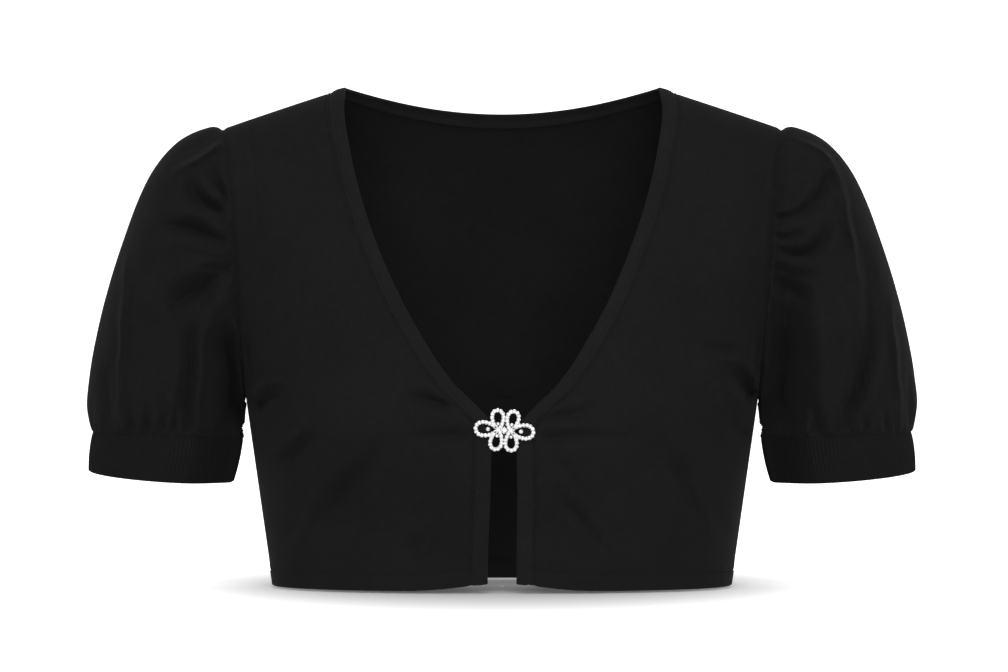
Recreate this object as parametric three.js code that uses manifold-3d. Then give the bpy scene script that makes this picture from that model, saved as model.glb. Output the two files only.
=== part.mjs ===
// Bolero jacket: a short, open-fronted jersey jacket with gathered puff sleeves, ribbed cuffs, a
// folded band round the neck and down both fronts, and a looped metal clasp at the bust.
// It is shown filled out and empty, as it hangs on a wearer. Units are millimetres, +Z is up,
// the front faces -Y and +X is the wearer's left. The origin lies midway between the two
// points where the shoulder seams meet the neck.
import * as THREE from "three";
import { mergeVertices } from "three/addons/utils/BufferGeometryUtils.js";
import Module from "manifold-3d";

const { PI, sin, cos, acos, asin, exp, abs, min, max, sign, hypot } = Math;
const DEGREE = PI / 180;
const NEAR = 1e-3; // a short step on a surface
const SEARCH_STEPS = 40; // when a place on the surface is searched for

// Driving sizes of the bodice.
const NECK_HALF = 103; // shoulder seam's neck end, from the centre
const SHOULDER_HALF = 184; // shoulder seam's sleeve end
const SHOULDER_DROP = 27; // fall of the shoulder seam
const UNDERARM_HALF = 168.5;
const UNDERARM_Z = -205;
const HEM_HALF = 151;
const HEM_Z = -327.5;
const HEM_DEPTH = 12; // height of the turned-up hem
const HEM_LIFT = 5; // rise of the hem at the front edges
const HEM_LIFT_WIDTH = 34;
const ARMHOLE_DEPTH = 57; // half the armhole's front-to-back size
const ARMHOLE_TUCK = 7; // how far it curves in across the chest and the back
const TUCK_REACH = 8; // the higher, the closer to the shoulder tip it curves in
const ROUNDNESS = 0.82; // 1 makes the bodice's level sections ellipses, less squares them
const BACK_CURVE = 1.5; // how late the upper back rounds over to the shoulders
const RIDGE_ROUNDING = 0.3; // how widely the upper body rounds over its centre line
const CUP = { x: 78, z: -218, width: 42, height: 48, fullness: 8 };
// How far the centre front and back stand from the shoulder seams, up to the underarms.
const PROFILE = [
  { z: HEM_Z, front: 96, back: 86 },
  { z: -295, front: 103, back: 88 },
  { z: -262, front: 112.5, back: 91.5 },
  { z: -235, front: 118.3, back: 95 },
  { z: -218, front: 119.2, back: 96.6 },
  { z: UNDERARM_Z, front: 117.4, back: 97 },
];

// Cloth and seams.
const CLOTH = 1.2;
const HEM_CLOTH = 2.2; // two layers
const BAND_CLOTH = 2.4; // folded strip
const BAND_RAISE = 0.5; // the band stands this far off the panels
const SEAM_GAP = 0.34;

// Front edge and neckline as worn, by height: half the opening, how far its middle lies towards
// the wearer's left, and the width of the band along it.
const NECKLINE = [
  { z: -340, half: 9.1, shift: 0, band: 10.5 },
  { z: -322, half: 9.1, shift: 0.1, band: 10.5 },
  { z: -296, half: 9, shift: 0.4, band: 10.4 },
  { z: -268, half: 8.6, shift: 1.2, band: 10.3 },
  { z: -234, half: 8, shift: 1.4, band: 10.2 },
  { z: -225, half: 8.4, shift: 1.9, band: 9.8 },
  { z: -218, half: 10, shift: 2.5, band: 9.2 },
  { z: -208, half: 18.6, shift: 2.8, band: 8.4 },
  { z: -192, half: 34.6, shift: 2.6, band: 8.4 },
  { z: -176, half: 45.9, shift: 2.4, band: 9.2 },
  { z: -144, half: 64.5, shift: 2.2, band: 9.6 },
  { z: -111, half: 79.6, shift: 1.6, band: 9.6 },
  { z: -79, half: 90.9, shift: 1.4, band: 9.6 },
  { z: -46, half: 99.3, shift: 1.2, band: 9.6 },
  { z: -14, half: 104.1, shift: 0.8, band: 10 },
  { z: 0, half: NECK_HALF, shift: 0, band: 10 },
];
const BACK_NECK_DROP = 14.8; // at the centre back
const BACK_NECK_CURVE = 1.12; // 1 would make the back neck a parabola
const BACK_BAND_FALL = 8.6; // height of the band at the centre back
const BACK_BAND_WIDTH = 10; // and where it meets the shoulder seams

// Rows of the bodice: heights below the underarm, then equal steps of the armhole's angle.
const HEM_TOP = HEM_Z + HEM_DEPTH;
const FRONT_ROWS = [HEM_Z, HEM_TOP, HEM_TOP + 1.5, -288, -262, -243, -232, -225, -218, -212, UNDERARM_Z];
const BACK_ROWS = [HEM_Z, HEM_TOP, HEM_TOP + 1.5, -284, -256, -230, UNDERARM_Z];
const UPPER_STEPS = 11;
const FRONT_COLUMNS = 10;
const BACK_SIDE_COLUMNS = 5;
const BACK_NECK_COLUMNS = 12;

// Drag lines of the fronts, as seen from the front: where each starts and ends, how far it
// bows sideways, its width, and its depth. A negative depth is a ridge.
const FRONT_FOLDS = [
  { x: -90, z: -249, toX: -128, toZ: -309, bow: 0, width: 9, depth: 2 },
  { x: -129, z: -228, toX: -143, toZ: -247, bow: 0, width: 6, depth: 1 },
  { x: -139, z: -197, toX: -160, toZ: -207, bow: 0, width: 5, depth: 2.2 },
  { x: -26, z: -212, toX: -52, toZ: -203, bow: 0, width: 5, depth: 1 },
  { x: -24, z: -228, toX: -66, toZ: -226, bow: 0, width: 5, depth: 0.8 },
  { x: -42, z: -287, toX: -57, toZ: -303, bow: 0, width: 6, depth: -0.8 },
  { x: 35, z: -258, toX: 58, toZ: -299, bow: 0, width: 6, depth: 1.4 },
  { x: 100, z: -262, toX: 126, toZ: -306, bow: 0, width: 8, depth: 1.6 },
  { x: 136, z: -192, toX: 160, toZ: -207, bow: 3, width: 5, depth: 2.6 },
  { x: 28, z: -214, toX: 56, toZ: -205, bow: 0, width: 5, depth: 1 },
];
const FOLDS_FADE = { besideBand: 8, atSide: 1 / 6 }; // in mm, and as a share of the way across

// Sleeve rings from the armhole to the cuff seam, seen from the front: the underside's and the
// outer edge's place, and half the ring's front-to-back size.
const SLEEVE_RINGS = [
  { underX: 168.8, underZ: -205.2, outerX: 184.3, outerZ: -27, depth: 57 },
  { underX: 169.3, underZ: -206.6, outerX: 190.5, outerZ: -25.6, depth: 60 },
  { underX: 169.9, underZ: -208.2, outerX: 200.2, outerZ: -28.2, depth: 63 },
  { underX: 170.4, underZ: -210, outerX: 211, outerZ: -33.6, depth: 65.5 },
  { underX: 170.8, underZ: -211.9, outerX: 221.5, outerZ: -43, depth: 67 },
  { underX: 171, underZ: -213.8, outerX: 231.4, outerZ: -56.6, depth: 67.5 },
  { underX: 171.2, underZ: -216, outerX: 240.4, outerZ: -75.2, depth: 67 },
  { underX: 171.4, underZ: -218.3, outerX: 249.5, outerZ: -100, depth: 66 },
  { underX: 171.6, underZ: -220.7, outerX: 258.5, outerZ: -128, depth: 64.5 },
  { underX: 171.8, underZ: -223.1, outerX: 266, outerZ: -157, depth: 62.5 },
  { underX: 172, underZ: -225.5, outerX: 271.5, outerZ: -186, depth: 60 },
  { underX: 172.2, underZ: -227.6, outerX: 273.7, outerZ: -207, depth: 56.5 },
  { underX: 172.4, underZ: -229.2, outerX: 272.3, outerZ: -219, depth: 53.5 },
  { underX: 172.7, underZ: -230.4, outerX: 269.9, outerZ: -227, depth: 50.5 },
];
// Share of the lengthwise columns in each part of the way round the armhole, from the underarm
// over the front: they lie close where the sleeve is gathered.
const SLEEVE_COLUMNS = [
  { to: 66, count: 6 },
  { to: 168, count: 22 },
  { to: 192, count: 4 },
  { to: 294, count: 22 },
  { to: 360, count: 6 },
];
// Gathers of the sleeves, with the same columns as the drag lines. The backs of the sleeves
// are taken to be gathered as the fronts of the opposite ones.
const SLEEVE_FOLDS = {
  right: [
    { x: -179, z: -67, toX: -189, toZ: -46, bow: 0, width: 3.6, depth: 3 },
    { x: -178, z: -84, toX: -197, toZ: -60, bow: -3, width: 4, depth: 3.4 },
    { x: -184, z: -84, toX: -207, toZ: -66, bow: -4, width: 4, depth: 3 },
    { x: -177, z: -107, toX: -221, toZ: -91, bow: -6, width: 5, depth: 4 },
    { x: -177, z: -118, toX: -197, toZ: -119, bow: 0, width: 4, depth: 2.6 },
    { x: -177, z: -122, toX: -204, toZ: -137, bow: 0, width: 7, depth: 3 },
    { x: -181, z: -35, toX: -216, toZ: -61, bow: 0, width: 5, depth: -2 },
    { x: -256, z: -186, toX: -257, toZ: -216, bow: 0, width: 3.5, depth: 2 },
    { x: -241, z: -206, toX: -241, toZ: -224, bow: 0, width: 3, depth: 1.8 },
    { x: -225, z: -211, toX: -231, toZ: -224, bow: 0, width: 3, depth: 1.8 },
    { x: -213, z: -213, toX: -218, toZ: -224, bow: 0, width: 3, depth: 1.6 },
    { x: -204, z: -184, toX: -209, toZ: -226, bow: 0, width: 4, depth: 3 },
    { x: -182, z: -165, toX: -186, toZ: -224, bow: 0, width: 5, depth: 3 },
  ],
  left: [
    { x: 179, z: -74, toX: 189, toZ: -64, bow: 0, width: 3.6, depth: 3 },
    { x: 181, z: -90, toX: 210, toZ: -61, bow: 5, width: 4, depth: 3.4 },
    { x: 179, z: -87, toX: 194, toZ: -78, bow: 0, width: 4, depth: 2.6 },
    { x: 177, z: -98, toX: 192, toZ: -97, bow: 0, width: 3.6, depth: 2.4 },
    { x: 178, z: -121, toX: 212, toZ: -89, bow: 4, width: 5, depth: 3.8 },
    { x: 178, z: -125, toX: 207, toZ: -119, bow: 0, width: 4, depth: 2.8 },
    { x: 178, z: -121, toX: 195, toZ: -137, bow: 0, width: 6, depth: 2.6 },
    { x: 190, z: -33, toX: 222, toZ: -77, bow: 6, width: 5, depth: -1.8 },
    { x: 222, z: -77, toX: 231, toZ: -137, bow: 0, width: 5, depth: -1.4 },
    { x: 233, z: -150, toX: 259, toZ: -220, bow: 0, width: 5, depth: -1.6 },
    { x: 257, z: -197, toX: 256, toZ: -222, bow: 0, width: 3, depth: 1.6 },
    { x: 233, z: -196, toX: 233, toZ: -222, bow: 0, width: 3, depth: 1.8 },
    { x: 226, z: -194, toX: 217, toZ: -224, bow: 2, width: 3.5, depth: 2.4 },
    { x: 204, z: -186, toX: 203, toZ: -225, bow: 0, width: 4, depth: 2.4 },
    { x: 184, z: -165, toX: 187, toZ: -224, bow: 0, width: 5, depth: 3 },
  ],
};
const TURN_OVER = 14; // depth over which the front's folds give way to the back's
const COLUMN_EVENING = 1.5; // how late the columns spread evenly towards the cuff
const TUCKED_RINGS = 3; // the armhole's curve is gone by this ring

// Ribbed cuffs.
const CUFF_BOTTOM = { underX: 179.8, underZ: -259.8, outerX: 272.6, outerZ: -252.4, depth: 49.5 };
const CUFF_RIBS = 116;
const RIB_HEIGHT = 0.7;
const CUFF_CLOTH = 1.6;
const CUFF_SAG = 2.6; // the front of its edge hangs lower than the sides
const CUFF_GAP = 0.74; // the ribs end this far from the middle of the sleeve's seam

// Clasp: two halves, each of three loops of stone-set wire about a hub. It hangs a little
// lower on the wearer's left. Angles are counted from that side.
const CLASP = { x: 1.6, z: -223.6, tilt: 4.4, standoff: 0.7 };
const WIRE_RADIUS = 1.1;
const HUB_SPACING = 8;
const HUB_RADIUS = 1.7;
const HOOK_HALF = 2.35; // half the diagonal of the square hook plate
const HOOK_OFFSET = -0.45;
const HOOK_DEPTH = 1.76;
const LOOPS = [
  { half: "right", angle: 180, length: 14.4, width: 8.2 },
  { half: "right", angle: 96, length: 12.5, width: 7 },
  { half: "right", angle: 264, length: 12.5, width: 7 },
  { half: "left", angle: 0, length: 14.4, width: 8.2 },
  { half: "left", angle: 84, length: 12.5, width: 7 },
  { half: "left", angle: 276, length: 12.5, width: 7 },
];
const LOOP_ROOT = 0.6; // where a loop's wire starts, from its hub's centre
const LOOP_TAPER = 0.3; // how much slimmer it is at the root
const LOOP_STEPS = 16;
const WIRE_SIDES = 6;
const HUB_SIDES = 10;

const jersey = new THREE.MeshStandardMaterial({ color: 0x1c1c1d, roughness: 0.85, metalness: 0 });
const rib = new THREE.MeshStandardMaterial({ color: 0x19191a, roughness: 0.9, metalness: 0 });
const stones = new THREE.MeshStandardMaterial({ color: 0xe9eaec, roughness: 0.15, metalness: 0.8 });

const lerp = (a, b, t) => a + (b - a) * t;

// A smooth line through a table's rows that never overshoots between them.
function through(table, key, value) {
  const at = table.map((row) => row[key]);
  const y = table.map((row) => row[value]);
  const step = at.slice(1).map((a, i) => a - at[i]);
  const rate = step.map((h, i) => (y[i + 1] - y[i]) / h);
  const slope = y.map((_, i) => {
    if (i === 0) return rate[0];
    if (i === rate.length) return rate[i - 1];
    return rate[i - 1] * rate[i] <= 0 ? 0 : (2 * rate[i - 1] * rate[i]) / (rate[i - 1] + rate[i]);
  });
  return (x) => {
    const i = max(0, min(step.length - 1, at.findIndex((a) => a > x) - 1));
    const k = x >= at[at.length - 1] ? step.length - 1 : i;
    const t = (x - at[k]) / step[k];
    const u = 1 - t;
    return (
      y[k] * u * u * (1 + 2 * t) +
      y[k + 1] * t * t * (3 - 2 * t) +
      step[k] * t * u * (slope[k] * u - slope[k + 1] * t)
    );
  };
}

const openingHalf = through(NECKLINE, "z", "half");
const openingShift = through(NECKLINE, "z", "shift");
const bandWidth = through(NECKLINE, "z", "band");
const frontProfile = through(PROFILE, "z", "front");
const backProfile = through(PROFILE, "z", "back");

// Depth of the folds at a point seen from the front.
function foldDepth(folds, x, z) {
  let sum = 0;
  for (const fold of folds) {
    const run = { x: fold.toX - fold.x, z: fold.toZ - fold.z };
    const length = hypot(run.x, run.z);
    const along = ((x - fold.x) * run.x + (z - fold.z) * run.z) / length;
    const beside = ((z - fold.z) * run.x - (x - fold.x) * run.z) / length;
    const t = max(0, min(1, along / length));
    const past = along - t * length;
    const off = beside - fold.bow * 4 * t * (1 - t);
    sum += fold.depth * (1 - t / 2) * exp(-(off * off + past * past) / fold.width ** 2);
  }
  return sum;
}

// The armhole seam, on the wearer's left, at an angle from the underarm over the front.
const tuckShare = (rise) => rise - rise ** TUCK_REACH;
function armhole(angle) {
  const rise = (1 - cos(angle)) / 2;
  return new THREE.Vector3(
    lerp(UNDERARM_HALF, SHOULDER_HALF, rise) - ARMHOLE_TUCK * tuckShare(rise),
    -ARMHOLE_DEPTH * sin(angle),
    lerp(UNDERARM_Z, -SHOULDER_DROP, rise),
  );
}

// The bodice's surface. Level 0 is the hem, 1 the underarm and 2 the shoulder seam; across runs
// from the centre, 0, to the side seam or armhole, 1; facing is -1 in front and 1 behind.
const softened = (t) => hypot(t, RIDGE_ROUNDING) - RIDGE_ROUNDING;
const fallAt = (t) => softened(t) / softened(1);
const NECK_FALL = fallAt(NECK_HALF / SHOULDER_HALF);
const RIDGE_Z = (SHOULDER_DROP * NECK_FALL) / (1 - NECK_FALL);
function station(level, facing) {
  const turn = (max(level, 1) - 1) * PI;
  const seam = armhole(turn);
  const profile = facing < 0 ? frontProfile : backProfile;
  const rounded = (c) => (facing < 0 ? c : 1 - (1 - c) ** BACK_CURVE);
  const low = level < 1;
  const lowZ = lerp(HEM_Z, UNDERARM_Z, level);
  const depth = low ? profile(lowZ) : profile(UNDERARM_Z) * rounded(cos(turn / 2));
  const topRatio = (2 * ARMHOLE_DEPTH) / (profile(UNDERARM_Z) * (facing < 0 ? 1 : BACK_CURVE));
  const ratio = level >= 2 ? topRatio : low ? 0 : (ARMHOLE_DEPTH * sin(turn)) / depth;
  return {
    depth,
    sweep: acos(ratio ** (1 / ROUNDNESS)),
    half: low ? lerp(HEM_HALF, UNDERARM_HALF, level) : seam.x,
    sideZ: low ? lowZ : seam.z,
    centreZ: low ? lowZ : lerp(UNDERARM_Z, RIDGE_Z, sin(turn / 2) ** 2),
  };
}
const heightAt = (s, x) => lerp(s.centreZ, s.sideZ, fallAt(x / s.half));
function bodicePoint({ level, across, facing, side }) {
  const s = station(level, facing);
  const x = s.half * (sin(across * s.sweep) / sin(s.sweep)) ** ROUNDNESS;
  const z = heightAt(s, x);
  const y = s.depth * abs(cos(across * s.sweep)) ** ROUNDNESS;
  if (facing > 0) return new THREE.Vector3(side * x, y, z);
  const cup = CUP.fullness * exp(-(((x - CUP.x) / CUP.width) ** 2) - ((z - CUP.z) / CUP.height) ** 2);
  const pastBand = max(0, x - openingHalf(z) - bandWidth(z));
  const inside = min(1, (1 - across) / FOLDS_FADE.atSide, pastBand / FOLDS_FADE.besideBand);
  const fold = foldDepth(FRONT_FOLDS, side * x, z) * inside;
  const lift = HEM_LIFT * exp(-((x / HEM_LIFT_WIDTH) ** 2)) * (1 - min(level, 1)) ** 2;
  return new THREE.Vector3(side * x, fold - y * (1 + cup / s.depth), z + lift);
}
// The outward direction there, from two short steps: down and towards the centre.
function bodiceNormal(place) {
  const step = place.across > NEAR ? -NEAR : NEAR;
  const here = bodicePoint(place);
  const beside = bodicePoint({ ...place, across: place.across + step }).sub(here);
  const below = bodicePoint({ ...place, level: place.level - NEAR }).sub(here);
  return beside.cross(below).multiplyScalar(sign(step) * place.facing * place.side).normalize();
}
// The place across at which the surface is x from the centre, for x a function of height.
function acrossAt(level, facing, xOfZ) {
  const s = station(level, facing);
  let x = xOfZ(s.sideZ);
  for (let k = 0; k < SEARCH_STEPS; k++) x = xOfZ(heightAt(s, x));
  return asin((x / s.half) ** (1 / ROUNDNESS) * sin(s.sweep)) / s.sweep;
}
const bandInner = (level, side) =>
  acrossAt(level, -1, (z) => openingHalf(z) + side * openingShift(z));
const bandOuter = (level, side) =>
  acrossAt(level, -1, (z) => {
    if (level >= 2) return NECK_HALF + BACK_BAND_WIDTH;
    const slope = (openingHalf(z + 1) - openingHalf(z - 1)) / 2;
    return openingHalf(z) + side * openingShift(z) + bandWidth(z) * hypot(1, slope);
  });
const levelsOf = (rows) => [
  ...rows.map((z) => (z - HEM_Z) / (UNDERARM_Z - HEM_Z)),
  ...Array.from({ length: UPPER_STEPS }, (_, i) => 1 + (i + 1) / UPPER_STEPS),
];
const FRONT_LEVELS = levelsOf(FRONT_ROWS);
const BACK_LEVELS = levelsOf(BACK_ROWS);

// Outward normals of a lattice that wraps round, each the sum of its neighbouring faces'.
function tubeNormals(points, outward) {
  const columns = points[0].length;
  const normals = points.map((row) => row.map(() => new THREE.Vector3()));
  for (let i = 0; i + 1 < points.length; i++)
    for (let j = 0; j < columns; j++) {
      const k = (j + 1) % columns;
      const a = points[i + 1][k].clone().sub(points[i][j]);
      const face = points[i + 1][j].clone().sub(points[i][k]).cross(a).multiplyScalar(outward);
      for (const n of [normals[i][j], normals[i][k], normals[i + 1][j], normals[i + 1][k]]) n.add(face);
    }
  normals.forEach((row) => row.forEach((n) => n.normalize()));
  return normals;
}

// Moves a lattice's border points in by half the seam gap, square to the border.
function trimmed(points, normals, wraps) {
  const rows = points.length;
  const columns = points[0].length;
  const column = (j) => (wraps ? (j + columns) % columns : max(0, min(columns - 1, j)));
  const moved = points.map((row) => row.map((p) => p.clone()));
  const draw = (i, j, before, after, inside) => {
    const run = after.clone().sub(before);
    const way = normals[i][j].clone().cross(run).setLength(SEAM_GAP / 2);
    const turn = sign(way.dot(inside.clone().sub(points[i][j])));
    moved[i][j].addScaledVector(way, turn);
  };
  for (const i of [0, rows - 1])
    for (let j = 0; j < columns; j++)
      draw(i, j, points[i][column(j - 1)], points[i][column(j + 1)], points[i ? i - 1 : 1][j]);
  if (wraps) return moved;
  for (const j of [0, columns - 1])
    for (let i = 0; i < rows; i++)
      draw(i, j, points[max(0, i - 1)][j], points[min(rows - 1, i + 1)][j], points[i][j ? j - 1 : 1]);
  return moved;
}

// One closed solid from an outer lattice and an inner one, joined round their borders. Each
// square of the lattices is split along its shorter diagonal.
function solidBetween(outer, inner, wraps) {
  const rows = outer.length;
  const columns = outer[0].length;
  const points = [...outer, ...inner].flat();
  const index = [];
  const quad = (a, b, c, d, other) => {
    if (other) index.push(a, b, d, b, c, d);
    else index.push(a, b, c, a, c, d);
  };
  const at = (side, i, j) => (side * rows + i) * columns + (j % columns);
  const last = wraps ? columns : columns - 1;
  for (let i = 0; i + 1 < rows; i++)
    for (let j = 0; j < last; j++) {
      const across = outer[i][j].distanceTo(outer[i + 1][(j + 1) % columns]);
      const other = outer[i][(j + 1) % columns].distanceTo(outer[i + 1][j]) < across;
      quad(at(0, i, j), at(0, i, j + 1), at(0, i + 1, j + 1), at(0, i + 1, j), other);
      quad(at(1, i, j), at(1, i + 1, j), at(1, i + 1, j + 1), at(1, i, j + 1), other);
    }
  for (let j = 0; j < last; j++) {
    quad(at(0, 0, j), at(1, 0, j), at(1, 0, j + 1), at(0, 0, j + 1));
    quad(at(0, rows - 1, j), at(0, rows - 1, j + 1), at(1, rows - 1, j + 1), at(1, rows - 1, j));
  }
  if (!wraps)
    for (let i = 0; i + 1 < rows; i++) {
      quad(at(0, i, 0), at(0, i + 1, 0), at(1, i + 1, 0), at(1, i, 0));
      const e = columns - 1;
      quad(at(0, i, e), at(1, i, e), at(1, i + 1, e), at(0, i + 1, e));
    }
  return facingOut(points.flatMap((p) => p.toArray()), index);
}

// Geometry from positions and an index, with its faces turned outwards.
function facingOut(positions, index) {
  let volume = 0;
  const v = (k) => new THREE.Vector3().fromArray(positions, 3 * index[k]);
  for (let k = 0; k < index.length; k += 3) volume += v(k).dot(v(k + 1).cross(v(k + 2)));
  if (volume < 0)
    for (let k = 0; k < index.length; k += 3) [index[k], index[k + 1]] = [index[k + 1], index[k]];
  const geometry = new THREE.BufferGeometry();
  geometry.setAttribute("position", new THREE.Float32BufferAttribute(positions, 3));
  geometry.setIndex(index);
  geometry.computeVertexNormals();
  return geometry;
}

// A wall of cloth whose outer side is the lattice, raised along its normals.
function clothWall(points, normals, { thickness, raise = 0, wraps = false }) {
  const moved = (row, i, by) => row.map((p, j) => p.clone().addScaledVector(normals[i][j], by(i, j)));
  const cut = trimmed(points, normals, wraps);
  const outer = cut.map((row, i) => moved(row, i, () => raise));
  const inner = outer.map((row, i) => moved(row, i, () => -thickness(i)));
  return solidBetween(outer, inner, wraps);
}
const onBodice = (places, options) =>
  clothWall(
    places.map((row) => row.map(bodicePoint)),
    places.map((row) => row.map(bodiceNormal)),
    options,
  );
const panelCloth = (row) => (row < 2 ? HEM_CLOTH : CLOTH);

// A front panel, from the band's seam to the side seam and armhole.
function frontPanel(side) {
  const places = FRONT_LEVELS.map((level) => {
    const start = bandOuter(level, side);
    return Array.from({ length: FRONT_COLUMNS + 1 }, (_, j) => ({
      level,
      across: lerp(start, 1, j / FRONT_COLUMNS),
      facing: -1,
      side,
    }));
  });
  return onBodice(places, { thickness: panelCloth });
}

// The level of the back's surface at x and z.
function backLevel(x, z) {
  let low = 1;
  let high = 2;
  for (let k = 0; k < SEARCH_STEPS; k++) {
    const level = (low + high) / 2;
    if (heightAt(station(level, 1), x) < z) low = level;
    else high = level;
  }
  return high;
}
// The band's edges round the back neck, as one of its columns, counted from the wearer's
// right; t is 0 at its free edge and 1 at its seam.
function backNeck(column, t) {
  const u = (2 * column) / BACK_NECK_COLUMNS - 1;
  const x = (NECK_HALF + t * BACK_BAND_WIDTH) * abs(u);
  const shoulderZ = (-t * BACK_BAND_WIDTH * SHOULDER_DROP) / (SHOULDER_HALF - NECK_HALF);
  const centreZ = -BACK_NECK_DROP - t * BACK_BAND_FALL;
  const z = lerp(shoulderZ, centreZ, (1 - u * u) ** BACK_NECK_CURVE);
  const level = abs(u) === 1 ? 2 : backLevel(x, z);
  return { level, across: acrossAt(level, 1, () => x), facing: 1, side: sign(u) || 1 };
}

// Levels above the underarm settle into the neck's curve more and more towards the top.
function settled(level, top) {
  const rise = max(0, level - 1);
  return level - (2 - top) * rise ** 3;
}

// The back panel, in one piece from side to side.
function backPanel() {
  const shoulder = (side) =>
    Array.from({ length: BACK_SIDE_COLUMNS }, (_, j) => ({
      level: 2,
      across: lerp(1, backNeck(0, 1).across, j / BACK_SIDE_COLUMNS),
      facing: 1,
      side,
    }));
  const neck = Array.from({ length: BACK_NECK_COLUMNS + 1 }, (_, j) => backNeck(j, 1));
  const tops = [...shoulder(-1), ...neck, ...shoulder(1).reverse()];
  const places = BACK_LEVELS.map((level) =>
    tops.map((top) => ({ ...top, level: settled(level, top.level) })),
  );
  return onBodice(places, { thickness: panelCloth });
}

// The folded band, in one strip: up one front edge, round the neck and down the other.
function neckBand() {
  const widthwise = [0, 0.5, 1];
  const front = (side) =>
    FRONT_LEVELS.map((level) =>
      widthwise.map((t) => ({
        level,
        across: lerp(bandInner(level, side), bandOuter(level, side), t),
        facing: -1,
        side,
      })),
    );
  const behind = Array.from({ length: BACK_NECK_COLUMNS - 1 }, (_, j) =>
    widthwise.map((t) => backNeck(BACK_NECK_COLUMNS - 1 - j, t)),
  );
  const places = [...front(1), ...behind, ...front(-1).reverse()];
  return onBodice(places, { thickness: () => BAND_CLOTH, raise: BAND_RAISE });
}

// A point on a sleeve's ring, on the wearer's left. push moves it straight out from the middle.
function ringPoint(ring, angle, push) {
  const middle = new THREE.Vector3((ring.underX + ring.outerX) / 2, 0, (ring.underZ + ring.outerZ) / 2);
  const p = new THREE.Vector3(ring.outerX, 0, ring.outerZ).sub(middle).multiplyScalar(-cos(angle));
  p.y -= ring.depth * sin(angle);
  return p.setLength(p.length() + push).add(middle);
}

// Angle of a sleeve's lengthwise column: close over the gathers at the armhole, which is share
// 0, and even at the cuff, share 1.
const sleeveAngles = SLEEVE_COLUMNS.flatMap(({ to, count }, k) => {
  const from = k ? SLEEVE_COLUMNS[k - 1].to : 0;
  return Array.from({ length: count }, (_, j) => lerp(from, to, j / count) * DEGREE);
});
const columnAngle = (j, share) => lerp(sleeveAngles[j], (2 * PI * j) / sleeveAngles.length, share);

// A gathered sleeve: rings from the armhole to the cuff, folded in along its table of gathers.
function sleeve(side) {
  const last = SLEEVE_RINGS.length - 1;
  const [front, back] = side > 0 ? ["left", "right"] : ["right", "left"];
  const points = SLEEVE_RINGS.map((ring, i) =>
    sleeveAngles.map((_, j) => {
      const angle = columnAngle(j, (i / last) ** COLUMN_EVENING);
      const p = ringPoint(ring, angle, 0);
      const behind = 1 / (1 + exp(-p.y / TURN_OVER));
      const depth = lerp(
        foldDepth(SLEEVE_FOLDS[front], side * p.x, p.z),
        foldDepth(SLEEVE_FOLDS[back], -side * p.x, p.z),
        behind,
      );
      const held = i === 0 || i === last ? 0 : 1;
      const q = ringPoint(ring, angle, -depth * held);
      q.x -= ARMHOLE_TUCK * max(0, 1 - i / TUCKED_RINGS) * tuckShare((1 - cos(angle)) / 2);
      return q.setX(side * q.x);
    }),
  );
  return clothWall(points, tubeNormals(points, side), { thickness: () => CLOTH, wraps: true });
}

// A ribbed cuff: ribs raised on the outside of a plain band.
function cuff(side) {
  const seam = SLEEVE_RINGS[SLEEVE_RINGS.length - 1];
  const count = 2 * CUFF_RIBS;
  const angles = Array.from({ length: count }, (_, j) => (2 * PI * j) / count);
  const row = (ring, sag, inset, gap) =>
    angles.map((angle, j) => {
      const push = inset > 0 ? -inset : (j % 2 ? 0.5 : -0.5) * RIB_HEIGHT;
      const p = ringPoint(ring, angle, push);
      return p.set(side * p.x, p.y, p.z - sag * max(0, sin(angle)) - gap);
    });
  const wall = CUFF_CLOTH + RIB_HEIGHT / 2;
  return solidBetween(
    [row(seam, 0, 0, CUFF_GAP), row(CUFF_BOTTOM, CUFF_SAG, 0, 0)],
    [row(seam, 0, wall, CUFF_GAP), row(CUFF_BOTTOM, CUFF_SAG, wall, 0)],
    true,
  );
}

// Manifold solids, for the clasp's halves alone.
const wasm = await Module();
wasm.setup();
function toSolid(geometry) {
  const bare = geometry.clone();
  bare.deleteAttribute("normal");
  bare.deleteAttribute("uv");
  const merged = mergeVertices(bare, NEAR / 10);
  return new wasm.Manifold(
    new wasm.Mesh({
      numProp: 3,
      vertProperties: merged.attributes.position.array,
      triVerts: new Uint32Array(merged.index.array),
    }),
  );
}
function toGeometry(solid) {
  const mesh = solid.getMesh();
  return facingOut(Array.from(mesh.vertProperties), Array.from(mesh.triVerts));
}

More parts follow.
